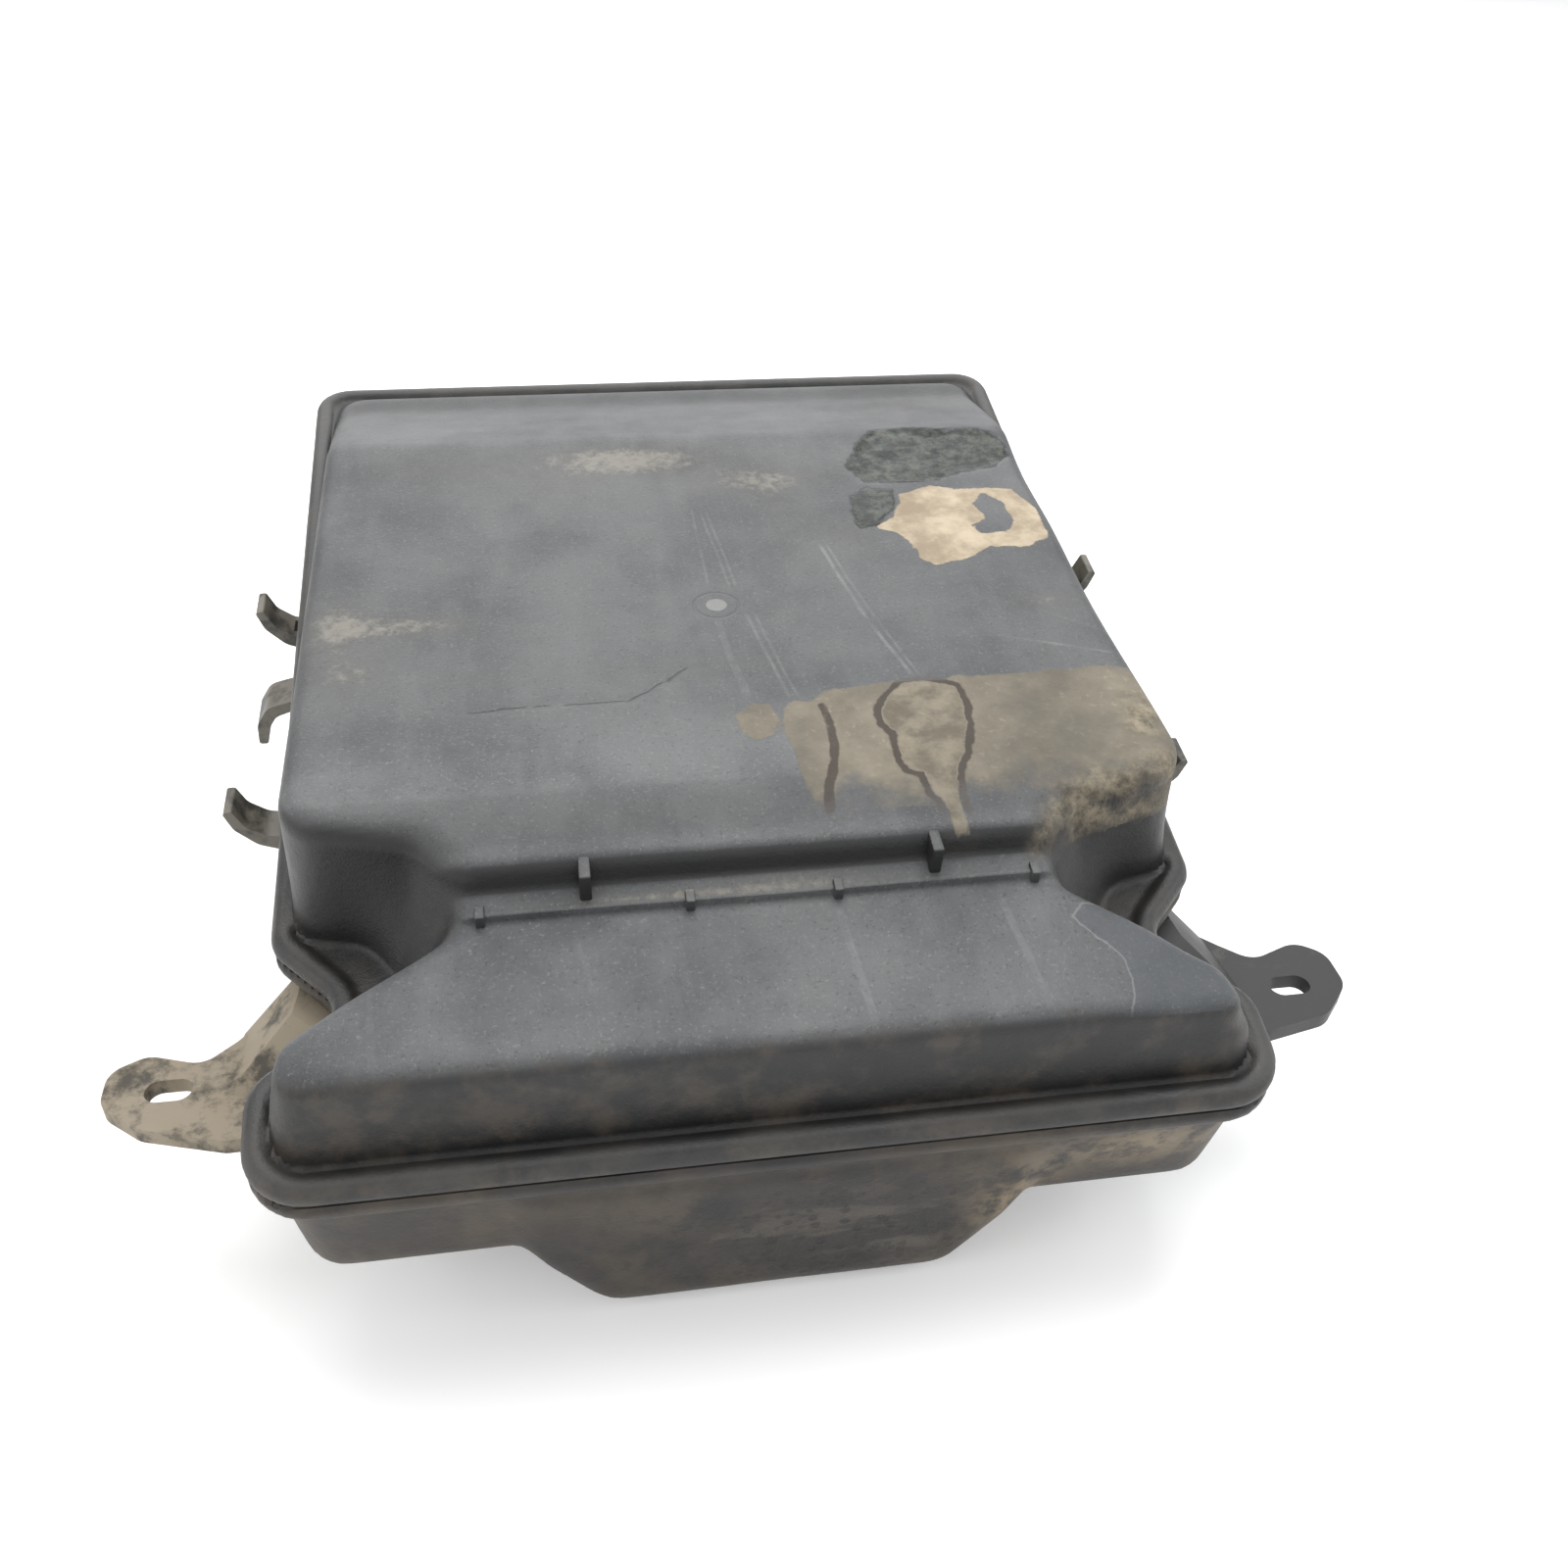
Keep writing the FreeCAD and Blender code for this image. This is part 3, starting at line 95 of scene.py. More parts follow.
class G:
    """Small helper that writes shader nodes."""

    def __init__(self, name):
        self.mat = bpy.data.materials.new(name)
        self.mat.use_nodes = True
        self.t = self.mat.node_tree
        self.t.nodes.clear()
        self.out = self.t.nodes.new("ShaderNodeOutputMaterial")
        self.p = self.t.nodes.new("ShaderNodeBsdfPrincipled")
        self.t.links.new(self.p.outputs[0], self.out.inputs[0])
        self._co = None

    def new(self, kind, **kw):
        n = self.t.nodes.new(kind)
        for k, v in kw.items():
            setattr(n, k, v)
        return n

    def put(self, sock, v):
        if v is None:
            return
        if isinstance(v, bpy.types.NodeSocket):
            self.t.links.new(v, sock)
        elif isinstance(v, (tuple, list)) and len(v) == 3 and sock.type == "RGBA":
            sock.default_value = (*v, 1.0)
        else:
            sock.default_value = v

    @property
    def co(self):
        if self._co is None:
            self._co = self.new("ShaderNodeTexCoord").outputs["Object"]
        return self._co

    def m(self, op, a, b=None, c=None, clamp=False):
        n = self.new("ShaderNodeMath", operation=op, use_clamp=clamp)
        self.put(n.inputs[0], a)
        self.put(n.inputs[1], b)
        self.put(n.inputs[2], c)
        return n.outputs[0]

    def vscale(self, s):
        n = self.new("ShaderNodeVectorMath", operation="MULTIPLY")
        self.put(n.inputs[0], self.co)
        n.inputs[1].default_value = s
        return n.outputs[0]

    def noise(self, scale, detail=3.0, rough=0.5, co=None, dist=0.0, lac=2.0):
        n = self.new("ShaderNodeTexNoise")
        self.put(n.inputs["Vector"], co or self.co)
        n.inputs["Scale"].default_value = scale
        n.inputs["Detail"].default_value = detail
        n.inputs["Roughness"].default_value = rough
        n.inputs["Distortion"].default_value = dist
        n.inputs["Lacunarity"].default_value = lac
        return n.outputs["Fac"]

    def voronoi(self, scale, feature="F1", co=None, out="Distance", rnd=1.0):
        n = self.new("ShaderNodeTexVoronoi", feature=feature)
        self.put(n.inputs["Vector"], co or self.co)
        n.inputs["Scale"].default_value = scale
        n.inputs["Randomness"].default_value = rnd
        return n.outputs[out]

    def ramp(self, v, lo, hi, a=0.0, b=1.0, smooth=True):
        n = self.new("ShaderNodeMapRange", interpolation_type="SMOOTHSTEP" if smooth else "LINEAR")
        self.put(n.inputs["Value"], v)
        n.inputs["From Min"].default_value = lo
        n.inputs["From Max"].default_value = hi
        n.inputs["To Min"].default_value = a
        n.inputs["To Max"].default_value = b
        return n.outputs[0]

    def mix(self, f, a, b, blend="MIX"):
        n = self.new("ShaderNodeMix", data_type="RGBA", blend_type=blend)
        self.put(n.inputs[0], f)
        self.put(n.inputs[6], a)
        self.put(n.inputs[7], b)
        return n.outputs[2]

    def attr(self, name):
        n = self.new("ShaderNodeAttribute", attribute_name=name, attribute_type="GEOMETRY")
        return n.outputs["Fac"]

    def bump(self, h, strength=0.5, dist=0.001, normal=None):
        n = self.new("ShaderNodeBump")
        n.inputs["Strength"].default_value = strength
        n.inputs["Distance"].default_value = dist
        self.put(n.inputs["Height"], h)
        self.put(n.inputs["Normal"], normal)
        return n.outputs[0]

    def line(self, p0, p1, width, wobble=0.0, soft=0.4, fade=10.0, seed=0.0):
        """Mask of a scratch between two (x, y) points in mm, seen along z."""
        d = np.array(p1, float) - np.array(p0, float)
        ln = float(np.hypot(*d))
        u = d / ln
        nrm = (-u[1], u[0])
        sep = self.sep()
        # signed distance and run along the line, mm
        a = self.m("MULTIPLY", sep[0], 1000 * nrm[0])
        b = self.m("MULTIPLY_ADD", sep[1], 1000 * nrm[1], a)
        dist = self.m("SUBTRACT", b, float(nrm[0] * p0[0] + nrm[1] * p0[1]))
        if wobble:
            w = self.m("MULTIPLY", self.m("SUBTRACT", self.noise(22 + seed, 2), 0.5), 2 * wobble)
            dist = self.m("ADD", dist, w)
        a = self.m("MULTIPLY", sep[0], 1000 * float(u[0]))
        b = self.m("MULTIPLY_ADD", sep[1], 1000 * float(u[1]), a)
        run = self.m("SUBTRACT", b, float(u[0] * p0[0] + u[1] * p0[1]))
        core = self.ramp(self.m("ABSOLUTE", dist), width * 0.5, width * 0.5 + soft, 1.0, 0.0)
        ends = self.m("MULTIPLY", self.ramp(run, 0, fade), self.ramp(run, ln - fade, ln, 1.0, 0.0))
        return self.m("MULTIPLY", core, ends)

    def sep(self):
        if not hasattr(self, "_sep"):
            n = self.new("ShaderNodeSeparateXYZ")
            self.put(n.inputs[0], self.co)
            self._sep = (n.outputs[0], n.outputs[1], n.outputs[2])
        return self._sep

    def finish(self, colour, rough, normal=None, metallic=0.0, spec=0.5, sheen=0.0, coat=0.0, coat_rough=0.3):
        self.put(self.p.inputs["Base Color"], colour)
        self.put(self.p.inputs["Roughness"], rough)
        self.put(self.p.inputs["Normal"], normal)
        self.p.inputs["Metallic"].default_value = metallic
        self.p.inputs["Specular IOR Level"].default_value = spec
        self.p.inputs["Sheen Weight"].default_value = sheen
        self.p.inputs["Coat Weight"].default_value = coat
        self.p.inputs["Coat Roughness"].default_value = coat_rough
        return self.mat


# --------------------------------------------------------- outline geometry --
S_Y = -192.09
PITCH = math.radians(8.0)
CO, SI = math.cos(PITCH), math.sin(PITCH)
# the rim plane's origin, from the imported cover: its rim's front edge stands 6 mm in front of it
cover_lo, cover_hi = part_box("upper_cover")
tray_lo, tray_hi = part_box("lower_tray")
RIM_Y = -22.0 + S_Y
RIM_Z = 83.0


def to_row(p):
    """Rim coordinates (x, v, w) in mm to the model's frame in mm."""
    x, v, w = p[:, 0], p[:, 1], p[:, 2]
    return np.stack([x, RIM_Y + v * CO - w * SI, RIM_Z + v * SI + w * CO], 1)


def to_rim(p):
    x, y, z = p[:, 0], p[:, 1] - RIM_Y, p[:, 2] - RIM_Z
    return np.stack([x, y * CO + z * SI, -y * SI + z * CO], 1)


def round_poly(points, seg=7):
    """Closed polygon of (x, y, r) to sampled points."""
    n = len(points)
    out = []
    for i in range(n):
        p0, p1, p2 = (np.array(points[(i + k) % n][:2], float) for k in (-1, 0, 1))
        r = points[i][2]
        a, b = p0 - p1, p2 - p1
        la, lb = np.linalg.norm(a), np.linalg.norm(b)
        a, b = a / la, b / lb
        ang = math.acos(max(-1, min(1, float(a @ b))))
        if r <= 0 or abs(ang - math.pi) < 1e-3:
            out.append(p1)
            continue
        t = min(r / math.tan(ang / 2), 0.49 * la, 0.49 * lb)
        r = t * math.tan(ang / 2)
        m = a + b
        c = p1 + m / np.linalg.norm(m) * (r / math.sin(ang / 2))
        s, e = p1 + a * t - c, p1 + b * t - c
        a0, a1 = math.atan2(s[1], s[0]), math.atan2(e[1], e[0])
        da = (a1 - a0 + math.pi) % (2 * math.pi) - math.pi
        for k in range(seg + 1):
            q = a0 + da * k / seg
            out.append(c + r * np.array([math.cos(q), math.sin(q)]))
    return np.array(out)


def poly_sd(poly, X, Y):
    """Signed distance to a closed polygon, negative inside."""
    X, Y = np.asarray(X, np.float64), np.asarray(Y, np.float64)
    d2 = np.full(X.shape, 1e18)
    inside = np.zeros(X.shape, bool)
    n = len(poly)
    for i in range(n):
        ax, ay = poly[i - 1]
        bx, by = poly[i]
        ex, ey = bx - ax, by - ay
        l2 = ex * ex + ey * ey
        if l2 < 1e-12:
            continue
        px, py = X - ax, Y - ay
        t = np.clip((px * ex + py * ey) / l2, 0, 1)
        d2 = np.minimum(d2, (px - t * ex) ** 2 + (py - t * ey) ** 2)
        c = ((ay > Y) != (by > Y))
        if ey != 0:
            xi = ax + (Y - ay) / ey * ex
            inside ^= c & (X < xi)
    d = np.sqrt(d2)
    return np.where(inside, -d, d)


def mirrored(half):
    return list(half) + [(-x, y, r) for x, y, r in reversed(half)]


RIM_OUT = round_poly(mirrored([(159, -6, 26), (161, 34, 16), (131, 58, 13), (158.5, 87, 14),
                               (162.5, 220, 0), (168, 436, 16)]))
TUB = round_poly(mirrored([(154.5, -1.5, 20), (156, 33, 15), (126, 60, 12), (153, 87, 12),
                           (155.5, 220, 0), (158.5, 426.5, 14)]))
WALL = round_poly(mirrored([(151.5, 4, 22), (151.5, 31, 15), (119, 64, 11), (128, 84, 12),
                            (152.5, 89, 12), (155, 220, 0), (159, 427, 14)]))
CROWN = round_poly(mirrored([(147, 12, 12), (147, 24, 12), (88, 66, 12), (108, 87, 14),
                             (150, 96, 18), (151, 220, 0), (151.5, 421, 14)]))
TOP = round_poly([(-80, -90, 0), (540, -90, 0), (540, 9.5, 0), (408, 9.5, 20), (337, 36, 30), (99, 54, 40),
                  (74.5, 51.3, 5.0), (72.4, 41.5, 3.0), (66.6, 40.0, 1.2), (64.6, 40.7, 0.9), (63.9, 37, 0.9),
                  (-80, 37, 0)], 6)


def rint(a, b, r):
    return np.minimum(-r, np.maximum(a, b)) + np.sqrt(np.maximum(a + r, 0) ** 2 + np.maximum(b + r, 0) ** 2)


def runi(a, b, r):
    return np.maximum(r, np.minimum(a, b)) - np.sqrt(np.maximum(r - a, 0) ** 2 + np.maximum(r - b, 0) ** 2)


def smoothstep(x, a, b):
    t = np.clip((x - a) / (b - a), 0, 1)
    return t * t * (3 - 2 * t)


# ------------------------------------------------------------- surface nets --
def surface_nets(F, axes):
    """Quads of the zero surface of a grid on three axes of any spacing, F negative inside."""
    F = np.ascontiguousarray(F, np.float32)
    S = F < 0
    nx, ny, nz = F.shape
    cells = S[:-1, :-1, :-1].astype(np.uint8)
    total = np.zeros((nx - 1, ny - 1, nz - 1), np.uint8)
    for i in (0, 1):
        for j in (0, 1):
            for k in (0, 1):
                total += S[i:nx - 1 + i, j:ny - 1 + j, k:nz - 1 + k]
    mixed = (total > 0) & (total < 8)
    ids = np.full(mixed.shape, -1, np.int64)
    ci, cj, ck = np.nonzero(mixed)
    ids[ci, cj, ck] = np.arange(len(ci))
    acc = np.zeros((len(ci), 3))
    cnt = np.zeros(len(ci))
    corners = [(0, 0, 0), (1, 0, 0), (0, 1, 0), (1, 1, 0), (0, 0, 1), (1, 0, 1), (0, 1, 1), (1, 1, 1)]
    edges = [(0, 1), (2, 3), (4, 5), (6, 7), (0, 2), (1, 3), (4, 6), (5, 7), (0, 4), (1, 5), (2, 6), (3, 7)]
    val = [F[ci + c[0], cj + c[1], ck + c[2]].astype(np.float64) for c in corners]
    for a, b in edges:
        va, vb = val[a], val[b]
        x = (va < 0) != (vb < 0)
        t = np.where(x, va / np.where(x, va - vb, 1.0), 0.0)
        pa, pb = np.array(corners[a], float), np.array(corners[b], float)
        pos = pa[None] + t[:, None] * (pb - pa)[None]
        acc += np.where(x[:, None], pos, 0)
        cnt += x
    v = acc / cnt[:, None] + np.stack([ci, cj, ck], 1)
    quads = []
    # faces across grid edges along each axis
    for axis in range(3):
        a = [slice(1, -1)] * 3
        a[axis] = slice(0, -1)
        b = [slice(1, -1)] * 3
        b[axis] = slice(1, None)
        sa, sb = S[tuple(a)], S[tuple(b)]
        flip = sa & ~sb
        either = sa != sb
        i, j, k = np.nonzero(either)
        f = flip[i, j, k]
        base = np.stack([i, j, k], 1)
        o = [d for d in range(3) if d != axis]
        base[:, o[0]] += 1
        base[:, o[1]] += 1

        def cell(d0, d1):
            q = base.copy()
            q[:, o[0]] -= d0
            q[:, o[1]] -= d1
            return ids[q[:, 0], q[:, 1], q[:, 2]]
        c00, c10, c11, c01 = cell(1, 1), cell(0, 1), cell(0, 0), cell(1, 0)
        quad = np.stack([c00, c10, c11, c01], 1)
        if axis == 1:
            f = ~f
        quad[~f] = quad[~f][:, ::-1]
        quads.append(quad)
    Q = np.concatenate(quads)
    # settle the points on the surface
    gx, gy, gz = np.gradient(F)
    lim = np.array(F.shape) - 1.001

    def tri(A, p):
        p = np.clip(p, 0, lim)
        i = p.astype(int)
        f = p - i
        x, y, z = i[:, 0], i[:, 1], i[:, 2]
        fx, fy, fz = f[:, 0], f[:, 1], f[:, 2]
        c00 = A[x, y, z] * (1 - fx) + A[x + 1, y, z] * fx
        c10 = A[x, y + 1, z] * (1 - fx) + A[x + 1, y + 1, z] * fx
        c01 = A[x, y, z + 1] * (1 - fx) + A[x + 1, y, z + 1] * fx
        c11 = A[x, y + 1, z + 1] * (1 - fx) + A[x + 1, y + 1, z + 1] * fx
        c0 = c00 * (1 - fy) + c10 * fy
        c1 = c01 * (1 - fy) + c11 * fy
        return c0 * (1 - fz) + c1 * fz
    start = v.copy()
    for _ in range(4):
        g = np.stack([tri(gx, v), tri(gy, v), tri(gz, v)], 1)
        f = tri(F, v)
        step = -(f / np.maximum((g ** 2).sum(1), 0.02))[:, None] * g
        ln = np.linalg.norm(step, axis=1)
        step *= np.minimum(1, 0.35 / np.maximum(ln, 1e-9))[:, None]
        v = v + step
        v = start + np.clip(v - start, -0.75, 0.75)
    return np.stack([np.interp(v[:, i], np.arange(len(axes[i])), axes[i]) for i in range(3)], 1), Q


def rounded_box(lo, hi, r):
    """Points and quads of a box with rounded edges."""
    lo, hi = np.array(lo, float), np.array(hi, float)
    c, h = (lo + hi) / 2, (hi - lo) / 2
    tick = [np.array([-a, -a + 0.35 * r, -a + r, a - r, a - 0.35 * r, a]) for a in h]
    out = []
    for axis in range(3):
        o = [d for d in range(3) if d != axis]
        for s in (-1, 1):
            for i in range(5):
                for j in range(5):
                    quad = []
                    for a, b in ((i, j), (i + 1, j), (i + 1, j + 1), (i, j + 1)):
                        q = np.zeros(3)
                        q[axis], q[o[0]], q[o[1]] = s * h[axis], tick[o[0]][a], tick[o[1]][b]
                        quad.append(q)
                    if (s < 0) != (axis == 1):
                        quad.reverse()
                    out.append(quad)
    P = np.array(out).reshape(-1, 3)
    q = np.clip(P, -(h - r), h - r)
    d = P - q
    P = q + r * d / np.linalg.norm(d, axis=1)[:, None]
    U, inv = np.unique(np.round(P, 4), axis=0, return_inverse=True)
    return U + c, np.asarray(inv).reshape(-1, 4)


def make_mesh(name, verts_mm, quads, sharp=38):
    me = bpy.data.meshes.new(name)
    me.vertices.add(len(verts_mm))
    me.vertices.foreach_set("co", (verts_mm * MM).astype(np.float32).ravel())
    me.loops.add(len(quads) * 4)
    me.loops.foreach_set("vertex_index", quads.astype(np.int32).ravel())
    me.polygons.add(len(quads))
    me.polygons.foreach_set("loop_start", np.arange(0, len(quads) * 4, 4, dtype=np.int32))
    me.polygons.foreach_set("use_smooth", np.ones(len(quads), bool))
    me.update(calc_edges=True)
    me.validate()
    me.set_sharp_from_angle(angle=math.radians(sharp))
    ob = bpy.data.objects.new(name, me)
    scene.collection.objects.link(ob)
    return ob


def float_attr(ob, name, values):
    a = ob.data.attributes.new(name, "FLOAT", "POINT")
    a.data.foreach_set("value", np.asarray(values, np.float32))


def vertex_normals(verts, quads):
    a, b, c, d = (verts[quads[:, i]] for i in range(4))
    n = np.cross(c - a, d - b)
    out = np.zeros_like(verts)
    for i in range(4):
        np.add.at(out, quads[:, i], n)
    return out / np.maximum(np.linalg.norm(out, axis=1), 1e-12)[:, None]


def lattice_noise(p, scale, seed, octaves=3, gain=0.5):
    """Smooth repeatable noise of points in mm, about -1 to 1."""
    out = np.zeros(len(p))
    amp, tot = 1.0, 0.0
    for o in range(octaves):
        q = p / scale * (2 ** o) + 17.3 * (o + seed)
        i = np.floor(q).astype(np.int64)
        f = q - i
        f = f * f * (3 - 2 * f)
        acc = np.zeros(len(p))
        for dx in (0, 1):
            for dy in (0, 1):
                for dz in (0, 1):
                    k = ((i[:, 0] + dx) * 73856093) ^ ((i[:, 1] + dy) * 19349663) ^ ((i[:, 2] + dz) * 83492791)
                    k = (k ^ (seed * 2654435761)) & 0x7FFFFFFF
                    k = (k * 1103515245 + 12345) & 0x7FFFFFFF
                    k = (k ^ (k >> 13)) * 1274126177 & 0x7FFFFFFF
                    r = (k % 100003) / 50001.5 - 1.0
                    wgt = (f[:, 0] if dx else 1 - f[:, 0]) * (f[:, 1] if dy else 1 - f[:, 1]) * \
                        (f[:, 2] if dz else 1 - f[:, 2])
                    acc += r * wgt
        out += amp * acc
        tot += amp
        amp *= gain
    return out / tot


def steps(*spans):
    """Axis values from (start, stop, spacing) spans that follow on."""
    out = []
    for a, b, h in spans:
        n = max(1, int(round((b - a) / h)))
        out.extend(a + (b - a) * np.arange(n) / n)
    out.append(spans[-1][1])
    return np.array(out)


def half_x(x_half, h):
    return (np.arange(int(math.ceil(x_half / h))) + 0.5) * h


def both(F):
    return np.concatenate([F[::-1], F], 0)


# ------------------------------------------------------------------- cover --
def cover_field(xs, vs, ws):
    X2, V2 = np.meshgrid(xs, vs, indexing="ij")
    dW, dC, dR = (poly_sd(p, X2, V2)[:, :, None] for p in (WALL, CROWN, RIM_OUT))
    VV, WW = np.meshgrid(vs, ws, indexing="ij")
    T = poly_sd(TOP, VV, WW)[None]
    w = ws[None, None, :]
    X, V = X2[:, :, None], V2[:, :, None]
    t = np.clip(w / 46.0, 0, 1.2)
    # the scoops sweep out towards their foot
    waist = smoothstep(V, 40, 62) * (1 - smoothstep(V, 96, 112))
    e = 1 - np.clip(1 - t, 0, 1) ** 1.55
    t = t * (1 - waist) + (e + np.maximum(t - 1, 0)) * waist
    W = (1 - t) * dW + t * dC
    gr = np.gradient(W, xs, vs, ws)
    W = W / np.clip(np.sqrt(gr[0] ** 2 + gr[1] ** 2 + gr[2] ** 2), 0.6, 3.0)
    outer = rint(W, T, 6.5)
    # rim: a round bead outside, a flat flange inside it
    tube = np.sqrt((dR + 4.4) ** 2 + (w - 3.7) ** 2) - 4.35
    flange = np.maximum(dR + 3.4, w - 4.9)
    rim = runi(tube, flange, 1.0)
    outer = runi(outer, rim, 1.4)
    thick = 4.2 + 1.8 * np.exp(-(((X - 124) / 22) ** 2 + ((V - 74) / 17) ** 2))
    inner = rint(W + thick, T + thick, 3.5)
    F = np.maximum(np.maximum(outer, -inner), 0.25 - w)
    dW3 = np.broadcast_to(dW, F.shape)
    tongue = np.maximum(np.maximum(dW3 + 4.45, -(dW3 + 8.2)), np.maximum(-7.0 - w, w - 4.0))
    ledge = np.maximum(np.maximum(dW3 + 2.5, -(dW3 + 8.2)), np.maximum(0.4 - w, w - 4.0))
    return np.minimum(F, np.minimum(tongue, ledge))


xs = half_x(173, 2.1)
vs = steps((-10.0, 16.0, 1.4), (16.0, 60.0, 2.2), (60.0, 80.0, 0.8), (80.0, 104.0, 1.8), (104.0, 424.0, 2.4),
           (424.0, 442.0, 1.5))
ws = steps((-9.0, 10.0, 1.3), (10.0, 33.0, 2.1), (33.0, 56.0, 1.1))
F = both(cover_field(xs, vs, ws))
cv, cq = surface_nets(F, (np.concatenate([-xs[::-1], xs]), vs, ws))
del F
# square tabs on the lip and the two ribs across the step
for x0 in (-88.0, -23.5, 23.5, 88.0):
    bv, bq = rounded_box((x0 - 1.5, 62.7, 35.0), (x0 + 1.5, 68.0, 41.7), 0.6)
    cq = np.concatenate([cq, bq + len(cv)])
    cv = np.concatenate([cv, bv])
for x0 in (-55.5, 55.5):
    bv, bq = rounded_box((x0 - 1.9, 67.5, 36.0), (x0 + 1.9, 77.0, 51.0), 0.8)
    cq = np.concatenate([cq, bq + len(cv)])
    cv = np.concatenate([cv, bv])
print("cover mesh", len(cv), len(cq))


def soft_dent(p, centre, radii, push):
    d = ((p - np.array(centre)) / np.array(radii)) ** 2
    return np.exp(-d.sum(1))[:, None] * np.array(push)[None]


def warp_cover(p):
    """Sags, dents and heat damage of the worn cover, as a smooth move of its points."""
    q = p.copy()
    up = smoothstep(p[:, 2], 9, 26)
    # right front lobe: its top has slumped and its corner is pushed in
    q += soft_dent(p, (136, 22, 37), (26, 22, 22), (-6.5, 3.0, -6.0)) * up[:, None]
    q += soft_dent(p, (112, 40, 38), (20, 14, 14), (-1.5, 1.0, -1.6)) * up[:, None]
    # left front corner is only a little rounded off
    q += soft_dent(p, (-146, 14, 36), (14, 14, 14), (2.0, 1.5, -1.5)) * up[:, None]
    # right side of the deck bows in
    q += soft_dent(p, (150, 205, 42), (22, 70, 26), (-3.0, 0, -1.2)) * up[:, None]
    q += soft_dent(p, (148, 300, 36), (18, 40, 20), (-2.6, 0, -1.0)) * up[:, None]
    # broad hollows in the deck and the shelf
    q[:, 2] += -1.6 * np.exp(-(((p[:, 0] - 10) / 90) ** 2 + ((p[:, 1] - 225) / 80) ** 2)) * up
    q[:, 2] += -0.9 * np.exp(-(((p[:, 0] + 20) / 85) ** 2 + ((p[:, 1] - 36) / 16) ** 2)) * up
    n1 = lattice_noise(np.stack([p[:, 0], p[:, 1], 0 * p[:, 0]], 1), 60.0, 3, 3)
    q[:, 2] += 0.45 * n1 * up
    # heat-damaged patch near the right back corner
    melt = poly_sd(MELT, p[:, 0], p[:, 1])
    rag = lattice_noise(p, 9.0, 5, 3)
    inside = smoothstep(-(melt + 2.5 * rag), -0.6, 1.4)
    rough = lattice_noise(p, 7.0, 11, 3)
    top = smoothstep(p[:, 2], 8, 16)
    q[:, 2] += inside * top * (-1.3 + 1.6 * rough)
    # a long shallow buckle across the deck
    for (x0, v0), (x1, v1) in ((( -90, 145.8), (-62, 147.5)), ((-62, 147.5), (-35.6, 147.8)),
                               ((-35.6, 147.8), (-21, 158.5)), ((-21, 158.5), (-13.7, 166.3))):
        d = seg_dist(p[:, 0], p[:, 1], (x0, v0), (x1, v1))
        q[:, 2] += -0.28 * np.exp(-(d / 1.6) ** 2) * up
    return q


def seg_dist(X, Y, a, b):
    ex, ey = b[0] - a[0], b[1] - a[1]
    t = np.clip(((X - a[0]) * ex + (Y - a[1]) * ey) / (ex * ex + ey * ey), 0, 1)
    return np.hypot(X - a[0] - t * ex, Y - a[1] - t * ey)


# outlines of marks on the top, (x, v) in mm
MELT = np.array([(70.8, 303.4), (77.3, 323.3), (86.9, 336.3), (107.9, 338.5), (123.4, 334.5), (136.4, 336.6),
                 (146.6, 328.5), (148.0, 311.7), (138, 301), (121.6, 296.6), (104.2, 289.7), (88.8, 289.8),
                 (75.6, 290.7)])
MELT_TAIL = np.array([(66.1, 280.8), (75.0, 287.7), (87.3, 283.1), (84.1, 268.6), (73.8, 255.1), (66.3, 253.9),
                      (64.2, 266.4)])
BEIGE = np.array([(73.4, 253.4), (80.7, 261.6), (88.3, 279.3), (103.1, 285.2), (117.6, 281.3), (127.6, 282),
                  (141.7, 282), (147, 258.0), (146, 240.5), (131.0, 234.3), (116.4, 235.2), (103.1, 226.2),
                  (91.8, 223.8), (85.9, 229.1), (85.1, 240.7), (79.8, 249.5)])
BEIGE_HOLE = np.array([(118.0, 268.3), (125, 276.2), (131.8, 269.4), (133.3, 254.9), (127.1, 246.5), (117.4, 245.3),
                       (113.3, 250.8), (120.2, 255.6)])
MUD = np.array([(15, 124), (15.2, 137), (20, 143), (27, 140.7), (31.2, 147), (52, 149.5), (96, 150.2), (118, 151.3),
                (143, 151), (153, 147), (156, 126), (153, 100), (150, 92), (132, 90), (121.2, 87.1), (109.4, 83),
                (99.4, 78), (95, 69), (85, 69), (80, 80), (67.6, 84), (55.9, 85), (47.7, 86), (38, 80),
                (28.2, 79), (20, 85), (17.8, 96.4), (16.3, 109.0)])
SMALL = np.array([(0.7, 138.1), (6.1, 142.9), (13.4, 141.1), (13.7, 132.0), (10.6, 123.1), (4.6, 121.4),
                  (-0.4, 127.7)])
BLOB = np.array([(49.9, 133.1), (54.4, 141.2), (60.6, 148.1), (70.2, 149.0), (78.7, 144.7), (79.7, 135.1),
                 (75.7, 116.4), (72.0, 106.5), (68.2, 100.2), (66.5, 88.4), (67.5, 74), (62.0, 74), (61.5, 87.1),
                 (58.8, 90.9), (57.5, 100.0), (53.1, 101.8), (51.5, 107.5), (53.0, 121.0), (49.8, 127.2)])
DRIP = np.array([(28.2, 140.1), (29.5, 130.4), (28.8, 116.6), (26.5, 105.7), (23.4, 97.7), (21.9, 85),
                 (25.2, 85), (26.3, 95.7), (29.8, 105.4), (32.4, 118.5), (32.4, 130.1), (31.4, 141.0)])
CRUST = np.array([(99.4, 92), (113.8, 100), (126.0, 99), (137, 107), (150, 105), (153, 94.5), (140, 87),
                  (124, 84), (110.2, 80), (99.4, 76), (94.5, 68.1), (86.2, 68), (85.4, 76.0), (94.5, 86)])
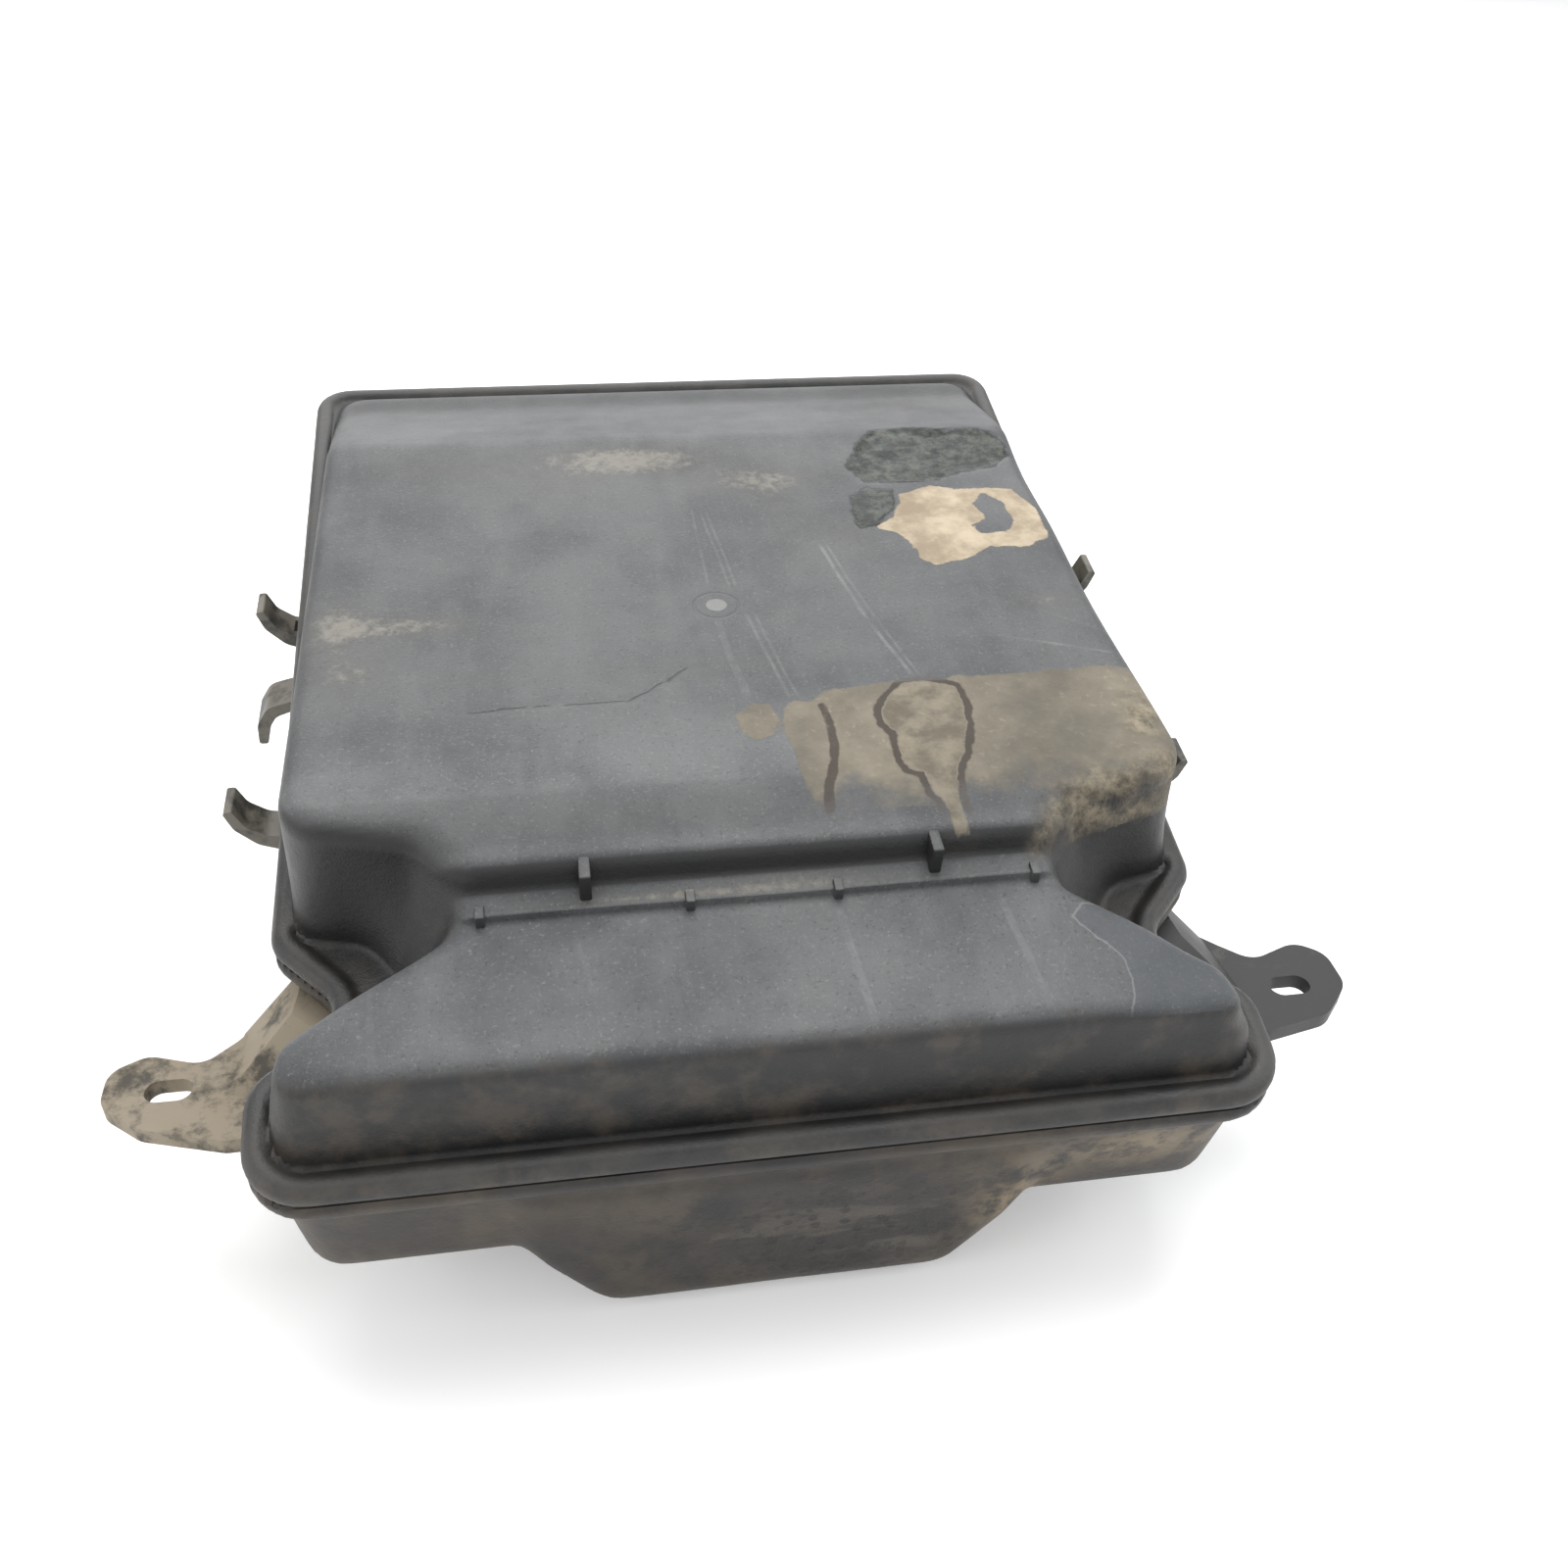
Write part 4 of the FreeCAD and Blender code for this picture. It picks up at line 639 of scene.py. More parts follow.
CRUST2 = np.array([(136.6, 137.4), (149, 139.2), (150, 126.5), (148, 112.1), (136.0, 108.1), (131.4, 113.3),
                   (131.6, 125.3)])
SHELF_STAIN = np.array([(96.3, 48.1), (101.3, 53), (112, 54), (124, 50), (140, 36), (150, 20), (150, 4), (120, -2),
                        (106, 2), (104.7, 7.2), (110.5, 17.4), (112.8, 30.3), (104, 40)])

p = warp_cover(cv)
row = to_row(p)
row = np.clip(row, np.array(cover_lo) * 1000, np.array(cover_hi) * 1000)
cover = make_mesh("cover_shell", row, cq)
nrm = vertex_normals(row, cq)
x, v, w = cv[:, 0], cv[:, 1], cv[:, 2]
outside = smoothstep(poly_sd(TOP, v, w) + 1.2, -0.6, 0.4)  # 1 on the top skin, 0 inside
wall_sd = poly_sd(WALL, x, v)
nz = nrm[:, 2]
is_top = (nz > 0.35) & (w > 6)
# painted sheen: upward faces of the top skin get a grey painted reflection in their colour
topness = smoothstep(nz, 0.45, 0.9) * smoothstep(w, 6, 14)
# painted shade: the painted sheen is taken out in the scoop recesses
in_scoop = np.exp(-(((np.abs(x) - 128) / 26) ** 2 + ((v - 76) / 15) ** 2)) * smoothstep(w, 6, 14)
painted_sheen = topness * (1 - 0.85 * np.clip(in_scoop, 0, 1))
# painted shade in the concave corner at the foot of the step face behind the lip
painted_sheen *= 1 - 0.75 * np.exp(-((v - 72.5) / 3.2) ** 2) * (np.abs(x) < 104) * smoothstep(w, 41.2, 43.5)
# painted highlight: a light line along the top of the lip bead
painted_sheen = np.maximum(painted_sheen, 0.75 * np.exp(-((v - 64.2) / 1.7) ** 2) * (np.abs(x) < 120) * smoothstep(w, 34, 36))
# the deck's front falls gently away: painted shade on the slope, and a painted highlight along the crease behind it
painted_sheen *= 1 - 0.30 * smoothstep(v, 80, 84) * (1 - smoothstep(v, 101, 105))
painted_sheen = np.clip(painted_sheen * (1 + 0.22 * np.exp(-((v - 110) / 5.0) ** 2)), 0, 1.2)
# painted sheen stronger towards the front, weaker over the back of the deck
painted_sheen *= 1.12 - 0.30 * smoothstep(v, 112, 150)
mud = np.minimum(poly_sd(MUD, x, v), poly_sd(SMALL, x, v))
float_attr(cover, "painted_sheen", painted_sheen)
float_attr(cover, "mud", np.where(w > 30, mud, 60.0 + 0 * mud))
float_attr(cover, "blob", poly_sd(BLOB, x, v))
float_attr(cover, "drip", poly_sd(DRIP, x, v))
float_attr(cover, "crust", np.minimum(poly_sd(CRUST, x, v), poly_sd(CRUST2, x, v)) + np.where(w > 34, 0, (34 - w) * 2.0))
float_attr(cover, "beige", np.maximum(poly_sd(BEIGE, x, v), -poly_sd(BEIGE_HOLE, x, v) + 0.5))
float_attr(cover, "melt", np.minimum(poly_sd(MELT, x, v), poly_sd(MELT_TAIL, x, v) + 1.0))
float_attr(cover, "stain", poly_sd(SHELF_STAIN, x, v))


def puff(cx, cv_, rx, rv, a):
    return a * np.exp(-(((x - cx) / rx) ** 2 + ((v - cv_) / rv) ** 2))


dust = (puff(-25, 317, 36, 13, 1.0) + puff(30, 296, 28, 12, 0.7) + puff(-110, 318, 30, 14, 0.35)
        + puff(-138, 200, 12, 16, 0.8) + puff(-112, 199, 22, 7, 0.75) + puff(-132, 172, 12, 12, 0.6)
        + puff(128, 196, 12, 6, 0.55) + puff(-35, 165, 60, 6, 0.3) + puff(60, 250, 14, 14, 0.35)
        + puff(-40, 90, 40, 5, 0.2) + puff(-10, 67, 60, 2.2, 0.85) + puff(10, 71, 20, 2.0, 0.5)
        + puff(120, 388, 40, 16, 0.35) + puff(-70, 300, 40, 20, 0.2) + puff(36, 262, 10, 30, 0.3))
float_attr(cover, "dust", np.clip(dust, 0, 1) * smoothstep(nz, 0.2, 0.6) * (w > 6))
front = smoothstep(-nrm[:, 1], 0.35, 0.8) * (v < 20)
float_attr(cover, "brown", np.clip(front * 0.9 + (w < 8.5) * 0.45 + smoothstep(np.abs(nrm[:, 0]), 0.5, 0.9) * 0.35, 0, 1))
# painted highlight on the upward-facing top of the rim bead
float_attr(cover, "bead", ((w < 9) & (wall_sd > 0.5)) * smoothstep(nz, 0.0, 0.7))
float_attr(cover, "mudlow", 1 - smoothstep(v, 80, 112) * 0.85)

# -------------------------------------------------------------------- tray --


def tray_field(xs, vs, ws):
    X2, V2 = np.meshgrid(xs, vs, indexing="ij")
    dW = poly_sd(WALL, X2, V2)[:, :, None]
    dT = poly_sd(TUB, X2, V2)[:, :, None]
    dR = poly_sd(RIM_OUT, X2, V2)[:, :, None]
    w = ws[None, None, :]
    X, V = X2[:, :, None], V2[:, :, None]
    Y = V * CO - w * SI - 22.0
    Z = 83.0 + V * SI + w * CO
    side = dT + 0.0875 * np.maximum(-w, 0)
    tub = rint(side, -64.0 - w, 17.0)
    tub_i = rint(side + 4.6, -59.4 - w, 12.4)
    k = 0.778

    def well(off):
        s1 = X - 84.0 + off
        s2 = (X - 59.0 - Z * 25.0 / 31.0) * k + off
        s = rint(s1, s2, 10.0)
        f = rint(s, off - Z, 9.0)
        ends = np.maximum(-19.0 + off - Y, Y - 392.0 + off)
        return np.maximum(rint(f, ends, 11.0), w + 22.0)
    outer = runi(tub, well(0.0), 7.0)
    inner = np.minimum(tub_i, well(4.6))
    tube = np.sqrt((dR + 4.4) ** 2 + (w + 3.9) ** 2) - 4.4
    flange = np.maximum(dR + 3.2, -6.6 - w)
    rim = runi(tube, flange, 1.5)
    outer = runi(outer, rim, 2.2)
    F = np.maximum(outer, w)
    mouth = np.maximum(dW + 3.0, -w - 8.2)
    F = np.maximum(F, -np.minimum(inner, mouth))
    F = np.maximum(F, -np.maximum(np.maximum(dR + 3.0, -(dR + 7.0)), -2.8 - w))
    # rod sockets, mat ribs and fuse posts inside
    mid_y = 218.0 + 75.0
    sock = np.maximum(np.hypot(X - 52.0, Y - mid_y) - 5.4, np.maximum(1.0 - Z, Z - 28.0))
    F = np.minimum(F, sock)
    F = np.maximum(F, -np.maximum(np.hypot(X - 52.0, Y - mid_y) - 3.1, 6.0 - Z))
    for y0, y1 in ((211.5, 214.5), (371.5, 374.5)):
        F = np.minimum(F, np.maximum(np.maximum(X - 40.0, np.maximum(y0 - Y, Y - y1)), np.maximum(1.0 - Z, Z - 16.0)))
    # outlets for the leads and the drain
    F = np.maximum(F, -np.maximum(np.hypot(X - 45.0, w + 29.0) - 9.0, 395.0 - V))
    F = np.maximum(F, -np.maximum(np.hypot(X, Y - 40.0) - 7.0, Z - 10.0))
    return np.maximum(F, -Z)


xs = half_x(173, 2.4)
vs = steps((-12.0, 12.0, 1.6), (12.0, 424.0, 2.6), (424.0, 442.0, 1.6))
ws = steps((-151.0, -12.0, 2.5), (-12.0, 2.6, 1.3))
F = both(tray_field(xs, vs, ws))
ax = np.concatenate([-xs[::-1], xs])
XX = ax[:, None, None]
for dv in (-20, 20):
    post = np.maximum(np.hypot(XX - 118.0, vs[None, :, None] - 190.0 - dv) - 4.0,
                      np.maximum(-62.5 - ws[None, None, :], ws[None, None, :] + 45.0))
    F = np.minimum(F, post)
tv, tq = surface_nets(F, (ax, vs, ws))
del F
print("tray mesh", len(tv), len(tq))
row = to_row(tv)
lift = smoothstep(row[:, 2], 0.5, 6)
n0 = vertex_normals(row, tq)
rough_zone = np.exp(-(((row[:, 0] - 18) / 42) ** 2 + ((row[:, 2] - 32) / 22) ** 2)) * smoothstep(-n0[:, 1], 0.3, 0.8) \
    * (row[:, 1] < -170)
row += n0 * (rough_zone * (-0.35 + 0.75 * lattice_noise(row, 7.0, 21, 3)) * lift)[:, None]
row += n0 * (0.35 * lattice_noise(row, 45.0, 9, 2) * lift * smoothstep(-tv[:, 2], 8, 16))[:, None]
row = np.clip(row, np.array(tray_lo) * 1000, np.array(tray_hi) * 1000)
row[:, 2] = np.maximum(row[:, 2], 0.0)
tray = make_mesh("tray_shell", row, tq)
nrm = vertex_normals(row, tq)
tx, ty, tz = row.T
facing = smoothstep(-nrm[:, 1], 0.2, 0.7)
side_f = smoothstep(np.abs(nrm[:, 0]), 0.3, 0.8)
float_attr(tray, "brown", np.clip(0.35 + 0.5 * facing + 0.35 * side_f, 0, 1))
float_attr(tray, "rough", rough_zone)
float_attr(tray, "tan", np.exp(-(((tx - 78) / 14) ** 2 + ((tz - 36) / 20) ** 2)) * (ty < -165)
           + 0.8 * np.exp(-(((tx - 120) / 30) ** 2 + ((tz - 58) / 12) ** 2)) * (ty < -165))
float_attr(tray, "inside", (tv[:, 2] < 0.5) * (poly_sd(WALL, tv[:, 0], tv[:, 1]) < -3.2) * (nrm[:, 2] > -0.3) * 1.0)

# --------------------------------------------------------------- materials --


def row_xy(px, pv, pw=46.0):
    q = to_row(np.array([[px, pv, pw]], float))[0]
    return (float(q[0]), float(q[1]))


def cover_material():
    g = G("worn_cover_plastic")
    big = g.noise(13.0, 7, 0.62)
    mid = g.noise(38.0, 4, 0.6)
    fine = g.noise(420.0, 3, 0.6)
    grit = g.noise(1500.0, 2, 0.6)
    streak_co = g.vscale((3.0, 0.5, 1.0))
    streak = g.noise(26.0, 4, 0.6, co=streak_co)
    painted_sheen = g.attr("painted_sheen")
    # bare plastic and a grey painted sheen, a painted reflection on the upward faces, mottled and streaked
    bare = g.mix(mid, (0.0075, 0.008, 0.0085), (0.017, 0.017, 0.0172))
    painted_sheen_col = g.mix(g.ramp(big, 0.34, 0.66), (0.044, 0.047, 0.051), (0.102, 0.104, 0.106))
    painted_sheen_col = g.mix(g.m("MULTIPLY", g.ramp(streak, 0.45, 0.75), 0.35), painted_sheen_col, (0.125, 0.128, 0.130))
    amount = g.m("MULTIPLY", painted_sheen, g.ramp(mid, 0.15, 0.75, 0.78, 1.0))
    col = g.mix(amount, bare, painted_sheen_col)
    # pale and dark specks of grit over the painted sheen
    pale = g.m("MULTIPLY", g.ramp(g.noise(800.0, 4, 0.8), 0.54, 0.70), g.m("MULTIPLY", painted_sheen, 0.55))
    col = g.mix(pale, col, (0.20, 0.195, 0.18))
    dark = g.m("MULTIPLY", g.ramp(g.noise(620.0, 3, 0.75), 0.56, 0.70), 0.5)
    col = g.mix(dark, col, (0.016, 0.016, 0.017))
    # brown dust on the upright faces
    brown = g.attr("brown")
    patch = g.ramp(g.noise(60.0, 5, 0.65), 0.42, 0.68)
    col = g.mix(g.m("MULTIPLY", g.m("MULTIPLY", brown, patch), 0.55), col, (0.075, 0.060, 0.044))
    # painted highlight along the top of the rim bead
    bead = g.attr("bead")
    col = g.mix(g.m("MULTIPLY", bead, g.ramp(mid, 0.35, 0.7, 0.1, 0.6)), col, (0.062, 0.058, 0.052))
    # light speckled dust
    dust = g.attr("dust")
    speck = g.ramp(g.m("ADD", g.noise(240.0, 7, 0.78), g.m("MULTIPLY", g.m("SUBTRACT", dust, 0.5), 0.42)), 0.46, 0.74)
    film = g.m("MULTIPLY", dust, 0.38)
    col = g.mix(film, col, (0.150, 0.142, 0.124))
    col = g.mix(g.m("MULTIPLY", speck, g.ramp(dust, 0.12, 0.7, 0.0, 0.55)), col, (0.27, 0.25, 0.21))
    # dried mud with its outlines
    edge = g.m("MULTIPLY", g.m("SUBTRACT", g.noise(95.0, 4, 0.65), 0.5), 7.0)
    mud_sd = g.m("ADD", g.attr("mud"), edge)
    mud_m = g.ramp(mud_sd, -0.9, 0.5, 1.0, 0.0)
    low = g.attr("mudlow")
    torn = g.ramp(g.m("ADD", g.noise(34.0, 4, 0.6), g.m("MULTIPLY", low, -0.42)), 0.08, 0.34)
    mud_m = g.m("MULTIPLY", mud_m, torn)
    mud_col = g.mix(g.noise(70.0, 5, 0.65), (0.095, 0.082, 0.060), (0.300, 0.262, 0.200))
    mud_col = g.mix(g.m("MULTIPLY", g.ramp(fine, 0.55, 0.75), 0.35), mud_col, (0.38, 0.345, 0.28))
    mud_col = g.mix(g.ramp(g.noise(21.0, 4, 0.6), 0.40, 0.66, 0.0, 0.62), mud_col, (0.085, 0.078, 0.064))
    col = g.mix(g.m("MULTIPLY", mud_m, 0.92), col, mud_col)
    bl = g.m("ADD", g.attr("blob"), g.m("MULTIPLY", g.m("SUBTRACT", g.noise(120.0, 3, 0.6), 0.5), 4.0))
    blob_in = g.ramp(bl, -0.8, 0.2, 1.0, 0.0)
    col = g.mix(g.m("MULTIPLY", blob_in, 0.9), col, g.mix(g.ramp(g.noise(85.0, 6, 0.65), 0.34, 0.66), (0.115, 0.098, 0.072), (0.235, 0.205, 0.155)))
    ring = g.m("MULTIPLY", g.ramp(bl, 0.1, 0.5), g.ramp(bl, 2.4, 3.4, 1.0, 0.0))
    ring = g.m("MULTIPLY", ring, g.ramp(g.attr("mud"), -2.0, 3.0, 1.0, 0.25))
    drip = g.m("ADD", g.attr("drip"), g.m("MULTIPLY", g.m("SUBTRACT", g.noise(90.0, 3, 0.6), 0.5), 2.6))
    ring = g.m("MAXIMUM", ring, g.ramp(drip, -0.5, 0.3, 1.0, 0.0))
    col = g.mix(g.m("MULTIPLY", ring, 0.88), col, (0.046, 0.036, 0.030))
    # thick pale crust at the corner
    cr = g.m("ADD", g.attr("crust"), g.m("MULTIPLY", g.m("SUBTRACT", g.noise(75.0, 5, 0.65), 0.5), 9.0))
    crust = g.m("MULTIPLY", g.ramp(cr, -8.0, 1.5, 1.0, 0.0), g.ramp(g.noise(60.0, 6, 0.7), 0.36, 0.54))
    crust_col = g.mix(g.ramp(g.noise(110.0, 6, 0.7), 0.34, 0.66), (0.060, 0.050, 0.034), (0.285, 0.245, 0.175))
    col = g.mix(g.m("MULTIPLY", crust, 0.93), col, crust_col)
    # heat-damaged patch
    ml = g.m("ADD", g.attr("melt"), g.m("MULTIPLY", g.m("SUBTRACT", g.noise(110.0, 5, 0.7), 0.5), 8.0))
    melt = g.ramp(ml, -0.8, 0.3, 1.0, 0.0)
    melt_col = g.mix(g.ramp(g.noise(150.0, 8, 0.75), 0.42, 0.64), (0.004, 0.007, 0.006), (0.070, 0.076, 0.060))
    melt_col = g.mix(g.ramp(g.noise(200.0, 4, 0.7), 0.58, 0.7), melt_col, (0.012, 0.035, 0.022))
    col = g.mix(melt, col, melt_col)
    rimline = g.m("MULTIPLY", g.ramp(ml, -0.3, 0.1), g.ramp(ml, 0.6, 1.1, 1.0, 0.0))
    col = g.mix(g.m("MULTIPLY", rimline, 0.8), col, (0.01, 0.012, 0.011))
    # beige film that has flaked
    bg_ = g.m("ADD", g.attr("beige"), g.m("MULTIPLY", g.m("SUBTRACT", g.noise(85.0, 4, 0.6), 0.5), 8.0))
    beige = g.ramp(bg_, -0.5, 0.4, 1.0, 0.0)
    col = g.mix(beige, col, g.mix(g.ramp(g.noise(60.0, 6, 0.65), 0.3, 0.7), (0.27, 0.215, 0.150), (0.49, 0.41, 0.300)))
    # stain on the front right lobe
    st = g.m("ADD", g.attr("stain"), g.m("MULTIPLY", g.m("SUBTRACT", g.noise(60.0, 4, 0.6), 0.5), 6.0))
    st_in = g.ramp(st, -1.0, 0.5, 1.0, 0.0)
    st_line = g.m("MULTIPLY", g.ramp(st, -0.5, 0.0), g.ramp(st, 0.2, 0.8, 1.0, 0.0))
    col = g.mix(g.m("MULTIPLY", g.m("MULTIPLY", st_in, painted_sheen), 0.42), col, (0.060, 0.068, 0.076))
    col = g.mix(g.m("MULTIPLY", g.m("MULTIPLY", st_line, painted_sheen), 0.45), col, (0.22, 0.225, 0.22))
    # scratches
    marks = None
    for i, (a, b, wd, amt) in enumerate([
            ((47.0, 247), (56.5, 188.8), 0.7, 0.8), ((56.5, 188.8), (65.8, 150.2), 0.8, 0.8),
            ((49.7, 247), (59.7, 188.6), 0.4, 0.5), ((59.7, 188.6), (68.1, 150), 0.5, 0.5),
            ((-1.2, 279), (-0.5, 216), 0.4, 0.4), ((2.0, 276), (7.9, 215), 0.4, 0.45), ((4.5, 277), (10.5, 215), 0.4, 0.4),
            ((10.9, 202), (19.7, 143), 0.6, 0.6), ((14.1, 202), (22.5, 143), 0.4, 0.45),
            ((0.2, 198), (2.5, 165), 2.0, 0.4), ((2.5, 170), (5.0, 142), 2.4, 0.35),
            ((99.8, 175.3), (150, 157), 0.7, 0.6), ((120, 192), (150, 170), 0.4, 0.4),
            ((22.1, 63), (26.5, 14), 1.8, 0.45), ((74.9, 62), (80, 12), 1.8, 0.35),
            ((-60, 60), (-55, 30), 1.0, 0.2), ((-120, 45), (-118, 12), 1.2, 0.22),
            ((64, 88), (68, 74), 1.6, 0.5), ((-30, 60), (-26, 20), 2.4, 0.14)]):
        pw = 37.0 if a[1] < 66 else 48.0
        m = g.m("MULTIPLY", g.line(row_xy(*a, pw), row_xy(*b, pw), wd, 0.9, 0.7, 6.0, i), amt)
        marks = m if marks is None else g.m("MAXIMUM", marks, m)
    marks = g.m("MULTIPLY", marks, g.m("MULTIPLY", painted_sheen, g.ramp(g.noise(160.0, 3, 0.6), 0.3, 0.6, 0.35, 1.0)))
    marks = g.m("MULTIPLY", marks, g.ramp(g.noise(55.0, 4, 0.7), 0.36, 0.60, 0.25, 0.85))
    col = g.mix(g.m("MULTIPLY", marks, 0.8), col, (0.20, 0.205, 0.205))
    # dark hairline cracks
    cracks = None
    for i, (a, b) in enumerate([((-92, 145), (-70, 147.5)), ((-70, 147), (-62, 147.5)), ((-60, 146.5), (-36, 148)),
                                ((-38, 147), (-22, 158)), ((-23, 157), (-13, 166.6))]):
        m = g.line(row_xy(*a, 50), row_xy(*b, 50), 0.35, 2.2, 0.5, 3.0, 30 + 7 * i)
        cracks = m if cracks is None else g.m("MAXIMUM", cracks, m)
    cracks = g.m("MULTIPLY", cracks, painted_sheen)
    slit = g.line((119, S_Y - 22 + 0.8), (134, S_Y - 22 + 0.2), 1.0, 0.6, 0.5, 2.0)
    cracks = g.m("MAXIMUM", cracks, g.m("MULTIPLY", slit, painted_sheen))
    col = g.mix(g.m("MULTIPLY", cracks, 0.48), col, (0.020, 0.021, 0.022))
    # round gate mark
    sx, sy = row_xy(1, 205, 46)
    s = g.sep()
    rr = g.m("SQRT", g.m("ADD", g.m("POWER", g.m("MULTIPLY", g.m("SUBTRACT", s[0], sx * MM), 1000.0), 2.0),
                         g.m("POWER", g.m("MULTIPLY", g.m("SUBTRACT", s[1], sy * MM), 1000.0), 2.0)))
    gate = g.m("MULTIPLY", g.ramp(rr, 3.6, 4.4, 1.0, 0.0), painted_sheen)
    gate_ring = g.m("MULTIPLY", g.m("MULTIPLY", g.ramp(rr, 7.4, 8.2), g.ramp(rr, 8.6, 9.4, 1.0, 0.0)), painted_sheen)
    col = g.mix(g.m("MULTIPLY", gate, 0.55), col, (0.30, 0.295, 0.275))
    col = g.mix(g.m("MULTIPLY", gate_ring, 0.5), col, (0.060, 0.062, 0.062))
    rough = g.m("ADD", g.ramp(mid, 0.2, 0.8, 0.42, 0.56), g.m("MULTIPLY", painted_sheen, 0.06))
    cover_all = g.m("MAXIMUM", g.m("MAXIMUM", mud_m, crust), g.m("MAXIMUM", beige, blob_in))
    rough = g.m("ADD", rough, g.m("MULTIPLY", cover_all, 0.36), clamp=True)
    rough = g.m("ADD", rough, g.m("MULTIPLY", dust, 0.2), clamp=True)
    # relief: moulded grain, mud thickness, crust, gate, cracks, scratches
    h = g.m("MULTIPLY", grit, 0.20)
    h = g.m("ADD", h, g.m("MULTIPLY", fine, 0.16))
    h = g.m("ADD", h, g.m("MULTIPLY", g.m("MULTIPLY", mud_m, g.noise(150.0, 5, 0.7)), 0.32))
    h = g.m("ADD", h, g.m("MULTIPLY", g.m("MULTIPLY", crust, g.noise(120.0, 5, 0.7)), 1.0))
    h = g.m("ADD", h, g.m("MULTIPLY", beige, 0.22))
    h = g.m("ADD", h, g.m("MULTIPLY", g.m("MULTIPLY", melt, g.noise(170.0, 6, 0.75)), 1.6))
    h = g.m("ADD", h, g.m("MULTIPLY", gate, 0.3))
    h = g.m("SUBTRACT", h, g.m("MULTIPLY", gate_ring, 0.35))
    h = g.m("SUBTRACT", h, g.m("MULTIPLY", cracks, 0.6))
    h = g.m("SUBTRACT", h, g.m("MULTIPLY", marks, 0.12))
    h = g.m("ADD", h, g.m("MULTIPLY", mid, 0.25))
    return g.finish(col, rough, g.bump(h, 0.75, 0.0011), spec=0.5)


def tray_material():
    g = G("worn_tray_plastic")
    mid = g.noise(32.0, 5, 0.6)
    fine = g.noise(420.0, 3, 0.6)
    grit = g.noise(1400.0, 2, 0.6)
    brown = g.attr("brown")
    rough_a = g.attr("rough")
    inside = g.attr("inside")
    col = g.mix(g.ramp(mid, 0.36, 0.62), (0.010, 0.009, 0.009), (0.034, 0.029, 0.025))
    soil = g.ramp(g.noise(24.0, 6, 0.68), 0.40, 0.64)
    soil_col = g.mix(g.noise(85.0, 5, 0.6), (0.030, 0.023, 0.015), (0.100, 0.077, 0.050))
    col = g.mix(g.m("MULTIPLY", g.m("MULTIPLY", brown, soil), 0.9), col, soil_col)
    tan = g.m("MULTIPLY", g.attr("tan"), g.ramp(g.noise(90.0, 5, 0.65), 0.38, 0.6))
    col = g.mix(tan, col, (0.21, 0.165, 0.105))
    # abraded, pitted area on the front of the well
    pit = g.ramp(g.voronoi(210.0, co=None), 0.18, 0.42)
    scr = g.ramp(g.noise(26.0, 6, 0.7, co=g.vscale((0.55, 1.0, 3.2))), 0.46, 0.6)
    rub = g.ramp(g.m("ADD", g.noise(48.0, 6, 0.72), g.m("MULTIPLY", rough_a, 0.42)), 0.60, 0.74)
    col = g.mix(g.m("MULTIPLY", rub, 0.75), col, g.mix(scr, (0.016, 0.015, 0.014), (0.070, 0.062, 0.052)))
    col = g.mix(g.m("MULTIPLY", g.m("MULTIPLY", rough_a, g.m("SUBTRACT", 1.0, pit)), 0.7), col, (0.008, 0.008, 0.008))
    # fine light scrapes all over
    sc1 = g.ramp(g.noise(60.0, 4, 0.75, co=g.vscale((0.25, 1.0, 3.5)), dist=0.4), 0.66, 0.74)
    col = g.mix(g.m("MULTIPLY", g.m("MULTIPLY", sc1, brown), 0.45), col, (0.20, 0.175, 0.135))
    col = g.mix(g.m("MULTIPLY", inside, 0.8), col, g.mix(mid, (0.020, 0.020, 0.021), (0.034, 0.033, 0.032)))
    rough = g.ramp(mid, 0.2, 0.8, 0.42, 0.62)
    rough = g.m("SUBTRACT", rough, g.m("MULTIPLY", rough_a, 0.16))
    h = g.m("ADD", g.m("MULTIPLY", grit, 0.14), g.m("MULTIPLY", fine, 0.16))
    h = g.m("ADD", h, g.m("MULTIPLY", mid, 0.3))
    h = g.m("ADD", h, g.m("MULTIPLY", g.m("MULTIPLY", rough_a, pit), 0.8))
    h = g.m("ADD", h, g.m("MULTIPLY", g.m("MULTIPLY", rough_a, g.noise(160.0, 6, 0.75)), 1.6))
    h = g.m("ADD", h, g.m("MULTIPLY", tan, 0.25))
    return g.finish(col, rough, g.bump(h, 0.75, 0.0011), spec=0.45)


cover.data.materials.append(cover_material())
tray.data.materials.append(tray_material())
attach(cover, "cover")
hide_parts("upper_cover")
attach(tray, "tray")
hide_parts("lower_tray")


def plastic(name, dark, light, rough=(0.4, 0.6), grain=0.06, scale=40.0, dirt=0.0, dirt_col=(0.2, 0.165, 0.115),
            spec=0.5, strength=0.6):
    g = G(name)
    mid = g.noise(scale, 5, 0.6)
    fine = g.noise(scale * 11, 3, 0.6)
    col = g.mix(mid, dark, light)
    if dirt:
        d = g.ramp(g.noise(scale * 1.4, 5, 0.65), 0.62 - 0.4 * dirt, 0.74 - 0.3 * dirt)
        col = g.mix(g.m("MULTIPLY", d, min(1.0, 0.5 + dirt * 0.5)), col, dirt_col)
    scr = g.ramp(g.noise(70.0, 4, 0.7, co=g.vscale((0.3, 1.0, 2.6)), dist=0.3), 0.64, 0.72)
    col = g.mix(g.m("MULTIPLY", scr, 0.18), col, tuple(min(1.0, c * 2.2 + 0.02) for c in light))
    h = g.m("ADD", g.m("MULTIPLY", fine, grain * 2), g.m("MULTIPLY", mid, 0.22))
    if dirt:
        h = g.m("ADD", h, g.m("MULTIPLY", d, 0.3))
    h = g.m("SUBTRACT", h, g.m("MULTIPLY", scr, 0.1))
    return g.finish(col, g.ramp(mid, 0.2, 0.8, *rough), g.bump(h, strength, 0.0009), spec=spec)


